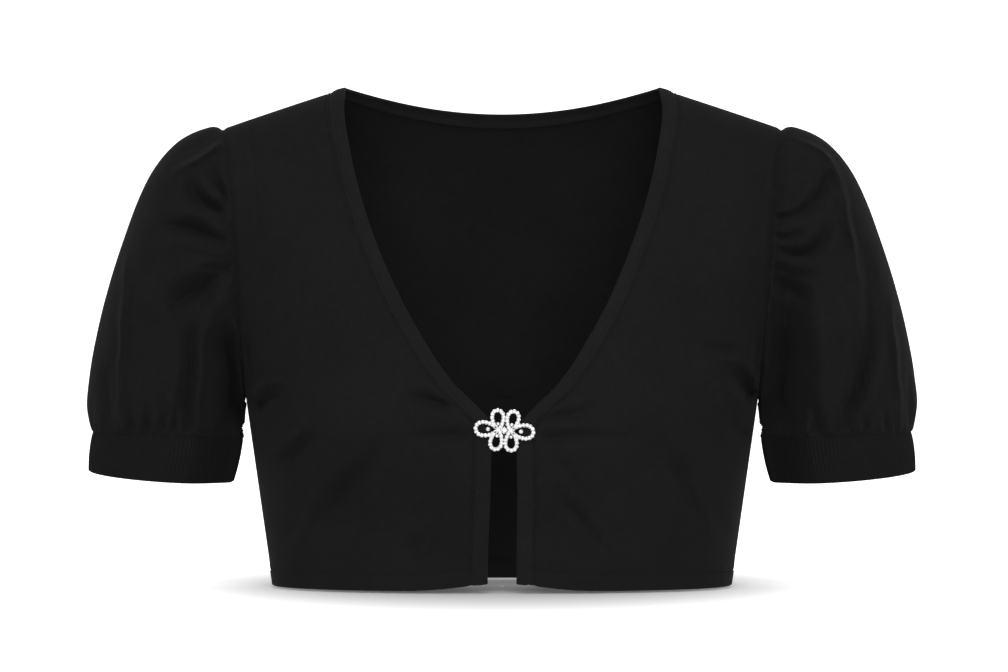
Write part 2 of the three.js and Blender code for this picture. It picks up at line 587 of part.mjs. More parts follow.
// One loop: a closed wire ring in the clasp's plane, slimmer at its root.
function wireLoop({ angle, length, width }, hubX) {
  const along = new THREE.Vector3(cos(angle * DEGREE), 0, sin(angle * DEGREE));
  const aside = new THREE.Vector3(-along.z, 0, along.x);
  const reach = length - LOOP_ROOT;
  const centre = (t) =>
    new THREE.Vector3(hubX, 0, 0)
      .addScaledVector(along, LOOP_ROOT + (reach / 2) * (1 - cos(t)))
      .addScaledVector(aside, (width / 2) * sin(t) * (1 - LOOP_TAPER * cos(t)));
  const rings = Array.from({ length: LOOP_STEPS }, (_, i) => {
    const t = (2 * PI * i) / LOOP_STEPS;
    const run = centre(t + NEAR).sub(centre(t - NEAR)).normalize();
    const out = new THREE.Vector3(-run.z, 0, run.x);
    return Array.from({ length: WIRE_SIDES }, (_, j) => {
      const a = (2 * PI * (j + 0.5)) / WIRE_SIDES;
      const p = centre(t).addScaledVector(out, WIRE_RADIUS * cos(a));
      p.y += WIRE_RADIUS * sin(a);
      return p;
    });
  });
  const positions = rings.flat().flatMap((p) => p.toArray());
  const index = [];
  for (let i = 0; i < LOOP_STEPS; i++)
    for (let j = 0; j < WIRE_SIDES; j++) {
      const at = (r, s) => (r % LOOP_STEPS) * WIRE_SIDES + (s % WIRE_SIDES);
      index.push(at(i, j), at(i + 1, j), at(i + 1, j + 1), at(i, j), at(i + 1, j + 1), at(i, j + 1));
    }
  return facingOut(positions, index);
}

// A half of the clasp: three loops on a hub, and on one half the square plate of the hook.
function claspHalf(half) {
  const hubX = (half === "left" ? 0.5 : -0.5) * HUB_SPACING;
  const hub = new THREE.CylinderGeometry(HUB_RADIUS, HUB_RADIUS, 2 * WIRE_RADIUS, HUB_SIDES);
  hub.translate(hubX, 0, 0);
  let solid = toSolid(hub);
  for (const loop of LOOPS.filter((l) => l.half === half)) solid = solid.add(toSolid(wireLoop(loop, hubX)));
  if (half === "right") {
    const plate = new THREE.CylinderGeometry(HOOK_HALF, HOOK_HALF, HOOK_DEPTH, 4);
    plate.translate(HOOK_OFFSET, 0, 0);
    solid = solid.add(toSolid(plate));
  }
  return toGeometry(solid);
}

const bolero = new THREE.Group();
function add(parent, name, geometry, material) {
  const mesh = new THREE.Mesh(geometry, material.clone());
  mesh.name = name;
  parent.add(mesh);
}

add(bolero, "back", backPanel(), jersey);
add(bolero, "neck_band", neckBand(), jersey);
for (const [name, side] of [
  ["left", 1],
  ["right", -1],
]) {
  add(bolero, "front_" + name, frontPanel(side), jersey);
  add(bolero, "sleeve_" + name, sleeve(side), jersey);
  add(bolero, "cuff_" + name, cuff(side), rib);
}

// The clasp lies on the two bands, a little crooked, as worn.
const clasp = new THREE.Group();
const claspLevel = (CLASP.z - HEM_Z) / (UNDERARM_Z - HEM_Z);
const seat = bodicePoint({
  level: claspLevel,
  across: bandInner(claspLevel, 1),
  facing: -1,
  side: 1,
});
clasp.position.set(CLASP.x, seat.y - BAND_RAISE - CLASP.standoff - WIRE_RADIUS, CLASP.z);
clasp.rotation.y = CLASP.tilt * DEGREE;
for (const half of ["left", "right"]) add(clasp, "clasp_" + half, claspHalf(half), stones);
bolero.add(clasp);

export default bolero;
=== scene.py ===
# Bolero jacket in fine black jersey, filled out as on a wearer and empty, built round the packed
# part. Lengths are in millimetres until a mesh is made. +X is the wearer's left, the front faces
# -Y and +Z is up, from the point midway between the neck ends of the shoulder seams.
from collections import namedtuple
from math import cos, pi, radians, sin, tau

import bpy
import numpy as np
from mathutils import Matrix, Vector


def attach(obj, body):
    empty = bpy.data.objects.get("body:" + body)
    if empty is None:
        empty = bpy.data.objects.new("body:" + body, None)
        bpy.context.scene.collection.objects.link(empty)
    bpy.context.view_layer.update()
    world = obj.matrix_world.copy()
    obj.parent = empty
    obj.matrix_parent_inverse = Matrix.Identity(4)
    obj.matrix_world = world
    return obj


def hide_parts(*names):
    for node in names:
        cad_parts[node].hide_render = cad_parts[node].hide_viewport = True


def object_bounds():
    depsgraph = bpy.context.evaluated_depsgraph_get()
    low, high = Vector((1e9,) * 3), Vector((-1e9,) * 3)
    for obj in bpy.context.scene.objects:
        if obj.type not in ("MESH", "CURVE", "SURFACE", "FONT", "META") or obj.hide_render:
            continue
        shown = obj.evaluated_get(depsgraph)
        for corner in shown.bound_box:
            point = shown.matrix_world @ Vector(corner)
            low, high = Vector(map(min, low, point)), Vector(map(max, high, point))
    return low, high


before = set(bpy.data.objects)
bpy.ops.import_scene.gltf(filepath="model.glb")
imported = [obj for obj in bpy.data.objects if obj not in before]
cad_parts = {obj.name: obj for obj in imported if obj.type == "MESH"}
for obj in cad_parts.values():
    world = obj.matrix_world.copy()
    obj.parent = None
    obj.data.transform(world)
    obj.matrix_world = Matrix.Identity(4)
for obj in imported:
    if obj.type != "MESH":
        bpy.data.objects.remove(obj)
cad_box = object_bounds()
MM = 0.001

# Studio
# A pale floor inside a pale round wall. Both glow, the floor only beyond the jacket's own contact
# shadow, and neither lights the cloth. An even light comes from all round, with wide soft lights
# straight ahead, high in front and behind. The camera looks level at the jacket's middle.
CAMERA_X = 1.3
CAMERA_AWAY = 3200
CAMERA_Z = -163.7
LENS = 173.2
SENSOR = 36
FLOOR_BELOW = 1.5  # under the hem's lowest point
ROOM_RADIUS = 12000
ROOM_TURN = 60  # degrees up and down
SHADOW_SIDEWAYS = 182  # how far the contact shadow reaches
SHADOW_FORWARD = 300
FLOOR_GLOW = 0.46  # at that reach; it grows with the cube of the distance, up to 1
ROOM_SIDES = 96
ROOM_STEPS = 13
WORLD_LIGHT = 0.56
VIEW_REACH = 60  # metres


def add_node(tree, kind, inputs=None, **settings):
    made = tree.nodes.new("ShaderNode" + kind)
    for name, value in settings.items():
        setattr(made, name, value)
    for socket, value in (inputs or {}).items():
        if isinstance(value, bpy.types.NodeSocket):
            tree.links.new(value, made.inputs[socket])
        else:
            made.inputs[socket].default_value = value
    return made


def new_material(name, finish):
    """A material whose main shader has these constant values, and its tree and shader."""
    made = bpy.data.materials.new(name)
    made.use_nodes = True
    shader = made.node_tree.nodes["Principled BSDF"]
    for socket, value in finish.items():
        shader.inputs[socket].default_value = value
    return made, made.node_tree, shader


def new_object(name, mesh, material):
    made = bpy.data.objects.new(name, mesh)
    bpy.context.scene.collection.objects.link(made)
    mesh.materials.append(material)
    return made


def new_mesh(name, points, faces, smooth=True):
    mesh = bpy.data.meshes.new(name)
    mesh.from_pydata((np.asarray(points).reshape(-1, 3) * MM).tolist(), [], faces)
    if smooth:
        mesh.shade_smooth()
    return mesh


def round_mesh(name, rings):
    """A round form about the upright axis, from rings of radius and height, seen from inside."""
    around = np.linspace(0, tau, ROOM_SIDES, endpoint=False)
    points = [(r * cos(a), r * sin(a), h) for r, h in rings for a in around]
    faces = [
        (i * ROOM_SIDES + j, (i + 1) * ROOM_SIDES + j,
         (i + 1) * ROOM_SIDES + (j + 1) % ROOM_SIDES, i * ROOM_SIDES + (j + 1) % ROOM_SIDES)
        for i in range(len(rings) - 1)
        for j in range(ROOM_SIDES)
    ]
    return new_mesh(name, points, faces)


def glowing_paper(name, glow):
    return new_material(name, {
        "Base Color": (0.9, 0.9, 0.9, 1),
        "Roughness": 0.9,
        "Specular IOR Level": 0.1,
        "Emission Color": (1, 1, 1, 1),
        "Emission Strength": glow,
    })[0]


floor_z = cad_box[0].z / MM - FLOOR_BELOW
floor_paper = glowing_paper("floor_paper", FLOOR_GLOW)
tree = floor_paper.node_tree
place = add_node(tree, "TexCoord").outputs["Object"]
shares = 1 / (SHADOW_SIDEWAYS * MM), 1 / (SHADOW_FORWARD * MM), 0
away = add_node(tree, "VectorMath", {0: place, 1: shares}, operation="MULTIPLY")
away = add_node(tree, "VectorMath", {0: away.outputs[0]}, operation="LENGTH")
cubed = add_node(tree, "Math", {0: away.outputs["Value"], 1: 3}, operation="POWER")
glow = add_node(tree, "MapRange", {"Value": cubed.outputs[0], "From Max": 1 / FLOOR_GLOW})
tree.links.new(glow.outputs[0], tree.nodes["Principled BSDF"].inputs["Emission Strength"])
floor = new_object("floor", round_mesh("floor", [(1, floor_z), (ROOM_RADIUS, floor_z)]), floor_paper)
turns = np.linspace(-1, 1, ROOM_STEPS) * radians(ROOM_TURN)
wall = new_object(
    "wall",
    round_mesh("wall", [(ROOM_RADIUS * cos(t), ROOM_RADIUS * sin(t)) for t in turns]),
    glowing_paper("wall_paper", 1),
)
for surface in (floor, wall):
    surface.visible_diffuse = False
    surface.visible_glossy = False
wall.visible_shadow = False

world = bpy.data.worlds.new("studio")
bpy.context.scene.world = world
world.use_nodes = True
sky = world.node_tree.nodes["Background"].inputs
sky["Color"].default_value = (1, 1, 1, 1)
sky["Strength"].default_value = WORLD_LIGHT
bpy.context.scene.view_settings.view_transform = "Standard"

Light = namedtuple("Light", "name place width height power")
AIM = (0, 0, -170)
LIGHTS = [
    Light("light_high", (100, -3000, 3100), 1200, 1200, 36),
    Light("light_ahead", (200, -4000, 200), 2400, 800, 85),
    Light("light_behind", (250, 4000, 700), 3400, 1200, 20),
]


def aim(thing, place, target):
    offset = [t - p for t, p in zip(target, place)]
    thing.location = [p * MM for p in place]
    thing.rotation_euler = Vector(offset).to_track_quat("-Z", "Y").to_euler()
    bpy.context.scene.collection.objects.link(thing)


for light in LIGHTS:
    data = bpy.data.lights.new(light.name, "AREA")
    data.shape = "RECTANGLE"
    data.size, data.size_y = light.width * MM, light.height * MM
    data.energy = light.power
    aim(bpy.data.objects.new(light.name, data), light.place, AIM)

camera_data = bpy.data.cameras.new("camera")
camera_data.lens = LENS
camera_data.sensor_width = SENSOR
camera_data.clip_end = VIEW_REACH
camera = bpy.data.objects.new("camera", camera_data)
aim(camera, (CAMERA_X, -CAMERA_AWAY, CAMERA_Z), (CAMERA_X, 0, CAMERA_Z))
bpy.context.scene.camera = camera

# Fronts
# The two front panels, each one piece of fine black viscose jersey from the neck band to the side
# seam, armhole and shoulder seam. They pull from the bust and the clasp in soft drag lines, and
# the hem is turned up and held by a row of cover stitches.
NECK_HALF = 103
SHOULDER_HALF = 184
SHOULDER_DROP = 27
UNDERARM_HALF = 168.5
UNDERARM_Z = -205
HEM_HALF = 151
HEM_Z = -327.5
HEM_DEPTH = 12
HEM_LIFT = 5
HEM_LIFT_WIDTH = 34
ARMHOLE_DEPTH = 57
ARMHOLE_TUCK = 7
TUCK_REACH = 8
ROUNDNESS = 0.82
BACK_CURVE = 1.5
RIDGE_ROUNDING = 0.3
CUP_X, CUP_Z, CUP_WIDTH, CUP_HEIGHT, CUP_FULLNESS = 78, -218, 42, 48, 8
PROFILE = {
    "z": [HEM_Z, -295, -262, -235, -218, UNDERARM_Z],
    "front": [96, 103, 112.5, 118.3, 119.2, 117.4],
    "back": [86, 88, 91.5, 95, 96.6, 97],
}
# The front edge and neckline by height: half the opening, how far its middle lies to the wearer's
# left, and the width of the band along it.
NECKLINE = {
    "z": [-340, -322, -296, -268, -234, -225, -218, -208, -192, -176, -144, -111, -79, -46, -14, 0],
    "half": [9.1, 9.1, 9, 8.6, 8, 8.4, 10, 18.6, 34.6, 45.9, 64.5, 79.6, 90.9, 99.3, 104.1, 103],
    "shift": [0, 0.1, 0.4, 1.2, 1.4, 1.9, 2.5, 2.8, 2.6, 2.4, 2.2, 1.6, 1.4, 1.2, 0.8, 0],
    "band": [10.5, 10.5, 10.4, 10.3, 10.2, 9.8, 9.2, 8.4, 8.4, 9.2, 9.6, 9.6, 9.6, 9.6, 10, 10],
}
BACK_BAND_WIDTH = 10
SEARCH_STEPS = 40
MIDDLE = np.array([0, 0, -165])  # a point inside the jacket

# Each fold runs from one point to another as seen from the front and bows sideways. It is this
# wide and deep, and reaches its full depth this share of the way along. A negative depth is a
# ridge. The cloth beside a fold swells a little.
Fold = namedtuple("Fold", "x z to_x to_z bow width depth rise")
FRONT_FOLDS = [
    Fold(-78, -232, -121, -294, 0, 7.5, 3, 0.55),
    Fold(-118, -262, -138, -308, 1, 3.4, -1.1, 0.5),
    Fold(-119, -226, -142, -248, 0, 5.5, 2.8, 0.5),
    Fold(-126, -219, -152, -244, 2, 3, -1.2, 0.4),
    Fold(-160, -199, -137, -195, 2.7, 3, -1.7, 0),
    Fold(-159, -209, -142, -200, 0.5, 4.2, 3.8, 0.15),
    Fold(-168, -165, -160, -196, 0, 4, 2.4, 0.3),
    Fold(-26, -209, -66, -201, 0, 3.8, 2.1, 0.3),
    Fold(-17, -227, -62, -228, 0, 4.4, 1.4, 0.2),
    Fold(-40, -286, -58, -309, 0, 3.6, -1, 0.5),
    Fold(-48, -290, -64, -309, 0, 5, 0.9, 0.5),
    Fold(-30, -245, -52, -283, 0, 7, 0.5, 0.5),
    Fold(21, -228, 90, -229, 0, 3.8, 1.3, 0.15),
    Fold(26, -217, 64, -209, 0, 3.2, 1.4, 0.2),
    Fold(33, -258, 69, -305, 0, 2.8, 1.2, 0.4),
    Fold(30, -238, 52, -264, 0, 3.6, 0.7, 0.4),
    Fold(30, -270, 58, -304, 0, 2.6, -0.5, 0.5),
    Fold(104, -236, 128, -286, 0, 9, 2.4, 0.35),
    Fold(121, -250, 139, -302, 0, 3.8, -1.1, 0.5),
    Fold(166, -197, 131, -177, -8, 3, -1.3, 0.1),
    Fold(164, -203, 147, -183, 0, 5.8, 6.6, 0.05),
    Fold(151, -174, 129, -170, 0, 3, 1.4, 0.2),
    Fold(168, -165, 161, -198, 0, 4, 2.4, 0.3),
    Fold(158, -227, 141, -209, 2, 6, 1.6, 0),
    Fold(110, -200, 140, -203, 0, 6, 0.7, 0.6),
]
FRONT_FOLD_STRENGTH = 3.4
FOLD_WANDER = 0.5
FOLD_WANDER_LENGTH = 5
FOLD_START_WIDTH = 0.75
FOLD_END_WIDTH = 1.25
FOLD_START_DEPTH = 0.15
FOLD_FADE = 0.8
VALLEY_SHARPNESS = 1.35
SWELL = 0.18  # of a fold's depth
SWELL_AWAY = 1.9
SWELL_WIDTH = 0.9
FOLDS_FADE_BESIDE_BAND = 8
FOLDS_FADE_AT_SIDE = 1 / 12  # a share of the way across

FRONT_COLUMNS = 92
BAND_COLUMNS = 30
HEM_ROW = 1
BODY_ROW = 2.2
UPPER_ROWS = 84

JERSEY = 0.9  # thickness of one layer
# How deep each sewn border is pulled in, and from how far. A panel's or sleeve's high border, at
# the shoulder, the neck behind or the cuff, lies nearly flat.
SEAM_DIP = {"start": 0.8, "end": 0.8, "low": 0.8, "high": 0.22}
SEAM_REACH = 1.7
SEAM_LAP = 0.5  # sewn edges run this far into each other
RIM = 0.8  # how far an edge rounds out, of half its thickness
MOST_DRAWN_IN = 0.8  # of the step to the next row
HEM_GROOVE = 0.95  # where the cover stitches pull the hem in
HEM_GROOVE_WIDTH = 1
HEM_RAISE = 0.45  # the turned-up layer stands out this far
HEM_STEP = 0.5
HEM_STITCH_UP = HEM_DEPTH - 1.2
HEM_PUCKER = 0.14
HEM_PUCKER_LENGTH = 7
HEM_PUCKER_REACH = 5
TURNED_UP_TO = HEM_DEPTH + 1
TURNED_UP_STEP = 0.3


def lerp(a, b, t):
    return a + (b - a) * t


def through(at, values):
    """A smooth line through a table's rows that never overshoots between them."""
    at, values = np.array(at, float), np.array(values, float)
    step = np.diff(at)
    rate = np.diff(values) / step
    same_way = rate[1:] * rate[:-1] > 0
    total = np.where(same_way, rate[1:] + rate[:-1], 1)
    inner = np.where(same_way, 2 * rate[1:] * rate[:-1] / total, 0)
    slope = np.concatenate([rate[:1], inner, rate[-1:]])

    def line(x):
        k = np.clip(np.searchsorted(at, x, side="right") - 1, 0, len(step) - 1)
        t = (x - at[k]) / step[k]
        u = 1 - t
        ends = values[k] * u * u * (1 + 2 * t) + values[k + 1] * t * t * (3 - 2 * t)
        return ends + step[k] * t * u * (slope[k] * u - slope[k + 1] * t)

    return line


opening_half = through(NECKLINE["z"], NECKLINE["half"])
opening_shift = through(NECKLINE["z"], NECKLINE["shift"])
band_width = through(NECKLINE["z"], NECKLINE["band"])
profile = {-1: through(PROFILE["z"], PROFILE["front"]), 1: through(PROFILE["z"], PROFILE["back"])}


def bump_at(off, width):
    """1 where off is 0, falling smoothly to nothing either side."""
    return np.exp(-((off / width) ** 2))


def step_down(t):
    """A smooth step from 1 far below 0 to 0 far above it."""
    return (1 - np.tanh(t / 2)) / 2


def fold_depth(folds, strength, x, z):
    """How far the folds take the cloth in, where it is seen from the front at x and z."""
    total = np.zeros(np.broadcast(x, z).shape)
    for fold in folds:
        run_x, run_z = fold.to_x - fold.x, fold.to_z - fold.z
        length = np.hypot(run_x, run_z)
        along = ((x - fold.x) * run_x + (z - fold.z) * run_z) / length
        beside = ((z - fold.z) * run_x - (x - fold.x) * run_z) / length
        t = np.clip(along / length, 0, 1)
        wander = FOLD_WANDER * np.sin(along / FOLD_WANDER_LENGTH + fold.x)
        off = beside - fold.bow * 4 * t * (1 - t) - wander
        width = fold.width * lerp(FOLD_START_WIDTH, FOLD_END_WIDTH, t)
        off = np.hypot(off, along - t * length) / width
        valley = np.exp(-(off**VALLEY_SHARPNESS)) - SWELL * bump_at(off - SWELL_AWAY, SWELL_WIDTH)
        grown = np.minimum(1, FOLD_START_DEPTH + t / fold.rise) if fold.rise else 1
        faded = np.cos(pi / 2 * np.clip((t - fold.rise) / (1 - fold.rise), 0, 1)) ** FOLD_FADE
        total += strength * fold.depth * valley * grown * faded
    return total


def broad_waves(x, z):
    """The cloth's slight unevenness where it hangs free."""
    return (0.5 * np.sin(x / 17 + z / 31 + 1) + 0.35 * np.sin(z / 13 - x / 29)
            + 0.25 * np.sin(x / 7.3 - z / 11 + 2) * np.sin(z / 23 + x / 41))


def tuck_share(rise):
    return rise - rise**TUCK_REACH


def softened(t):
    return np.hypot(t, RIDGE_ROUNDING) - RIDGE_ROUNDING


def fall_at(t):
    return softened(t) / softened(1)


NECK_FALL = fall_at(NECK_HALF / SHOULDER_HALF)
RIDGE_Z = SHOULDER_DROP * NECK_FALL / (1 - NECK_FALL)
Station = namedtuple("Station", "depth sweep half side_z centre_z")


def station(level, facing):
    """A level section of the body: 0 is the hem, 1 the underarm and 2 the shoulder seam."""
    turn = (np.maximum(level, 1) - 1) * pi
    rise = (1 - np.cos(turn)) / 2
    lift = np.maximum(np.cos(turn / 2), 1e-6)
    rounded = lift if facing < 0 else 1 - (1 - lift) ** BACK_CURVE
    low = level < 1
    low_z = lerp(HEM_Z, UNDERARM_Z, np.minimum(level, 1))
    depth = profile[facing](low_z) * rounded
    seam_x = lerp(UNDERARM_HALF, SHOULDER_HALF, rise) - ARMHOLE_TUCK * tuck_share(rise)
    seam_z = lerp(UNDERARM_Z, -SHOULDER_DROP, rise)
    ratio = 2 * ARMHOLE_DEPTH * np.sin(turn / 2) * lift / depth
    return Station(
        depth,
        np.arccos(ratio ** (1 / ROUNDNESS)),
        np.where(low, lerp(HEM_HALF, UNDERARM_HALF, level), seam_x),
        np.where(low, low_z, seam_z),
        np.where(low, low_z, lerp(UNDERARM_Z, RIDGE_Z, np.sin(turn / 2) ** 2)),
    )


def height_at(s, x):
    return lerp(s.centre_z, s.side_z, fall_at(x / s.half))


def body_point(level, across, facing, side):
    """A point of the body: across runs from the centre, 0, to the side seam or armhole, 1."""
    s = station(level, facing)
    x = s.half * (np.sin(across * s.sweep) / np.sin(s.sweep)) ** ROUNDNESS
    z = height_at(s, x)
    y = s.depth * np.abs(np.cos(across * s.sweep)) ** ROUNDNESS
    if facing < 0:
        cup = CUP_FULLNESS * bump_at(x - CUP_X, CUP_WIDTH) * bump_at(z - CUP_Z, CUP_HEIGHT)
        past_band = np.maximum(0, x - opening_half(z) - band_width(z))
        inside = np.minimum((1 - across) / FOLDS_FADE_AT_SIDE, past_band / FOLDS_FADE_BESIDE_BAND)
        fold = fold_depth(FRONT_FOLDS, FRONT_FOLD_STRENGTH, side * x, z) + broad_waves(side * x, z)
        y = fold * np.minimum(1, inside) - y * (1 + cup / s.depth)
        z = z + HEM_LIFT * bump_at(x, HEM_LIFT_WIDTH) * (1 - np.minimum(level, 1)) ** 2
    return np.stack(np.broadcast_arrays(side * x, y, z), axis=-1)


def across_at(level, facing, x_of_z):
    """Where across the body x is as far from the centre as a function of height says."""
    s = station(level, facing)
    x = x_of_z(s.side_z)
    for _ in range(SEARCH_STEPS):
        x = x_of_z(height_at(s, x))
    return np.arcsin((x / s.half) ** (1 / ROUNDNESS) * np.sin(s.sweep)) / s.sweep


def band_inner(level, side):
    return across_at(level, -1, lambda z: opening_half(z) + side * opening_shift(z))


def band_outer(level, side):
    def edge(z):
        slope = (opening_half(z + 1) - opening_half(z - 1)) / 2
        seen = opening_half(z) + side * opening_shift(z) + band_width(z) * np.hypot(1, slope)
        return np.where(level >= 2, NECK_HALF + BACK_BAND_WIDTH, seen)

    return across_at(level, -1, edge)


def body_levels():
    hem = np.arange(0, 2 * HEM_DEPTH, HEM_ROW)
    rows = round((UNDERARM_Z - HEM_Z - hem[-1]) / BODY_ROW)
    low = np.concatenate([hem[:-1], np.linspace(hem[-1], UNDERARM_Z - HEM_Z, rows)])
    upper = np.linspace(1, 2, UPPER_ROWS)[1:]
    return np.concatenate([low / (UNDERARM_Z - HEM_Z), upper])[:, None]


def unit(v):
    return v / np.maximum(np.linalg.norm(v, axis=-1, keepdims=True), 1e-9)


def outward(points, inside):
    """Normals of a lattice of points, away from a point or row of points inside it."""
    normals = unit(np.cross(np.gradient(points, axis=1), np.gradient(points, axis=0)))
    return normals * np.sign(np.sum(normals * (points - inside)))


def from_borders(points):
    """How far along the cloth each point of a lattice lies from its four borders."""
    across = np.linalg.norm(np.diff(points, axis=1), axis=2)
    up = np.linalg.norm(np.diff(points, axis=0), axis=2)
    start = np.pad(np.cumsum(across, axis=1), ((0, 0), (1, 0)))
    low = np.pad(np.cumsum(up, axis=0), ((1, 0), (0, 0)))
    return {"start": start, "end": start[:, -1:] - start, "low": low, "high": low[-1:] - low}


def sewn_in(points, inside, sewn):
    """A lattice whose sewn borders are pulled in by their seams."""
    normals = outward(points, inside)
    away = from_borders(points)
    dip = sum(SEAM_DIP[border] * bump_at(away[border], SEAM_REACH) for border in sewn)
    return points - normals * np.asarray(dip)[..., None]


BORDERS = {
    "start": (np.s_[:, 0], np.s_[:, 1]),
    "end": (np.s_[:, -1], np.s_[:, -2]),
    "low": (np.s_[0], np.s_[1]),
    "high": (np.s_[-1], np.s_[-2]),
}


def fit_borders(points, thickness, sewn):
    """Lap a lattice's sewn borders into their seams, and draw the free ones in by their rims."""
    for border, (edge, beside) in BORDERS.items():
        run = points[edge] - points[beside]
        most = MOST_DRAWN_IN * np.linalg.norm(run, axis=-1)
        wish = -SEAM_LAP if border in sewn else RIM * thickness[edge] / 2
        points[edge] -= unit(run) * np.minimum(wish, most)[:, None]


def rounded_rim(middle, thickness, loop):
    """Points that round out the edge, from the shell's middle surface and the points round it."""
    rows, columns = thickness.shape
    beside = np.clip(np.stack(np.divmod(loop, columns), -1), 1, [rows - 2, columns - 2])
    edge = middle.reshape(-1, 3)[loop]
    way = unit(edge - middle[beside[:, 0], beside[:, 1]])
    return edge + way * (RIM * thickness.ravel()[loop] / 2)[:, None]


def shell_faces(at, loop):
    """Faces of the outer lattice, the inner one and the rim between them."""
    square = np.stack([at[:-1, :-1], at[:-1, 1:], at[1:, 1:], at[1:, :-1]], -1).reshape(-1, 4)
    after = np.roll(loop, -1)
    edge_at = 2 * at.size + np.arange(len(loop))
    edge_after = np.roll(edge_at, -1)
    return np.concatenate([
        square,
        at.size + square[:, ::-1],
        np.stack([after, loop, edge_at, edge_after], -1),
        np.stack([edge_after, edge_at, at.size + loop, at.size + after], -1),
    ])


def add_map(mesh, place):
    """Give a mesh the map that its knit follows, from each point's lengths along the cloth."""
    corner = np.empty(len(mesh.loops), int)
    mesh.loops.foreach_get("vertex_index", corner)
    mesh.uv_layers.new(name="knit").uv.foreach_set("vector", place[corner].ravel())


def cloth(name, points, inside, thickness, material, sewn=(), first_u=0):
    """A shell of cloth between a lattice of points and one set in from it, with rounded edges."""
    points = sewn_in(points, inside, sewn) if sewn else points.copy()
    thickness = np.broadcast_to(thickness, points.shape[:2])
    away = from_borders(points)
    fit_borders(points, thickness, sewn)
    normals = outward(points, inside)
    inner = points - normals * thickness[..., None]
    at = np.arange(thickness.size).reshape(thickness.shape)
    loop = np.concatenate([at[0], at[1:, -1], at[-1, -2::-1], at[-2:0:-1, 0]])
    rim = rounded_rim((points + inner) / 2, thickness, loop)
    faces = shell_faces(at, loop)
    corner_normal = np.cross(points[1, 1] - points[0, 0], points[1, 0] - points[0, 1])
    if np.sum(corner_normal * normals[0, 0]) <= 0:
        faces = faces[:, ::-1]
    everything = np.concatenate([points.reshape(-1, 3), inner.reshape(-1, 3), rim])
    mesh = new_mesh(name, everything, faces.tolist())
    lengths = np.stack([away["start"] + first_u, away["low"]], -1).reshape(-1, 2)
    add_map(mesh, np.concatenate([lengths, lengths, lengths[loop]]))
    return new_object(name, mesh, material)


def add_roughness(tree, shader, value, low, high):
    rough = add_node(tree, "MapRange", {"Value": value, "To Min": low, "To Max": high})
    tree.links.new(rough.outputs[0], shader.inputs["Roughness"])


def add_bump(tree, shader, height, strength, distance):
    bump = add_node(tree, "Bump", {"Strength": strength, "Distance": distance * MM, "Height": height})
    tree.links.new(bump.outputs[0], shader.inputs["Normal"])


KNIT_FINISH = {
    "Specular IOR Level": 0.06,
    "Sheen Weight": 0.02,
    "Sheen Roughness": 0.4,
    "Sheen Tint": (1, 1, 1, 1),
}
WALE_WANDER = 0.9
WALE_CREST, WALE_FALL = 0.75, 2.6
LOOP_SLANT, LOOP_HEIGHT = 1.3, 0.28
NAP_HEIGHT = 0.8


def knit(name, dark, light, wale, course, relief):
    """A knit face of small slanted loops in upright wales, with a short nap and painted shade in its
    hollows.
    """
    made, tree, shader = new_material(name, KNIT_FINISH)

    def calc(operation, a, b=0.0):
        return add_node(tree, "Math", {0: a, 1: b}, operation=operation).outputs[0]

    lengths = add_node(tree, "UVMap", uv_map="knit").outputs[0]
    split = add_node(tree, "SeparateXYZ", {0: lengths})
    place = add_node(tree, "TexCoord").outputs["Object"]
    broad = add_node(tree, "TexNoise", {"Vector": place, "Scale": 21, "Detail": 4, "Roughness": 0.6})
    nap = add_node(tree, "TexNoise", {"Vector": place, "Scale": 1500, "Detail": 3, "Roughness": 0.7})
    wander = calc("MULTIPLY", broad.outputs[0], WALE_WANDER)
    wale_at = calc("ADD", calc("DIVIDE", split.outputs[0], wale), wander)
    beside = calc("ABSOLUTE", calc("SUBTRACT", calc("FRACT", wale_at), 0.5))
    slant = calc("MULTIPLY", beside, LOOP_SLANT)
    slanted = calc("ADD", calc("DIVIDE", split.outputs[1], course), slant)
    loops = calc("MULTIPLY", calc("SINE", calc("MULTIPLY", slanted, tau)), LOOP_HEIGHT)
    fall = calc("MULTIPLY", calc("POWER", beside, 2), WALE_FALL)
    wales = calc("SUBTRACT", WALE_CREST, fall)
    stitch = calc("ADD", wales, loops)
    height = calc("ADD", stitch, calc("MULTIPLY", nap.outputs[0], NAP_HEIGHT))
    add_bump(tree, shader, height, strength=0.7, distance=relief)
    slub = add_node(tree, "TexNoise", {"Vector": place, "Scale": 240, "Detail": 4, "Roughness": 0.7})
    # The base colour differs at random with the broad noise and the slub. The stitch term paints it
    # darker in the hollows of the wales and loops and lighter on their crests: painted shade.
    tone_with_painted_light = calc("ADD", calc("MULTIPLY", broad.outputs[0], 0.4), calc("MULTIPLY", stitch, 0.3))
    tone_with_painted_light = calc("ADD", tone_with_painted_light, calc("MULTIPLY", slub.outputs[0], 0.5))
    shades = {"Fac": tone_with_painted_light, "Color1": (dark, dark, dark, 1), "Color2": (light, light, light, 1)}
    mix = add_node(tree, "MixRGB", shades)
    tree.links.new(mix.outputs[0], shader.inputs["Base Color"])
    add_roughness(tree, shader, nap.outputs[0], 0.8, 1)
    return made


jersey = knit("black_jersey", 0.003, 0.0122, wale=0.85, course=0.62, relief=0.12)


def uneven(s, length):
    """A wavering line along a seam, whose waves are about this long and never quite alike."""
    k = tau * s / length
    return (np.sin(k) + 0.7 * np.sin(0.63 * k + 1.9) + 0.5 * np.sin(1.71 * k + 0.4)) / 1.5


def hemmed(points, inside):
    """A panel with the step, groove and faint puckers of its turned-up hem."""
    normals = outward(points, inside)
    up = from_borders(points)["low"]
    along = from_borders(points)["start"]
    raised = HEM_RAISE * step_down((up - HEM_DEPTH) / HEM_STEP)
    groove = HEM_GROOVE * bump_at(up - HEM_STITCH_UP, HEM_GROOVE_WIDTH)
    pucker = HEM_PUCKER * uneven(along, HEM_PUCKER_LENGTH) * bump_at(up - HEM_DEPTH, HEM_PUCKER_REACH)
    return points + normals * (raised - groove + pucker)[..., None]


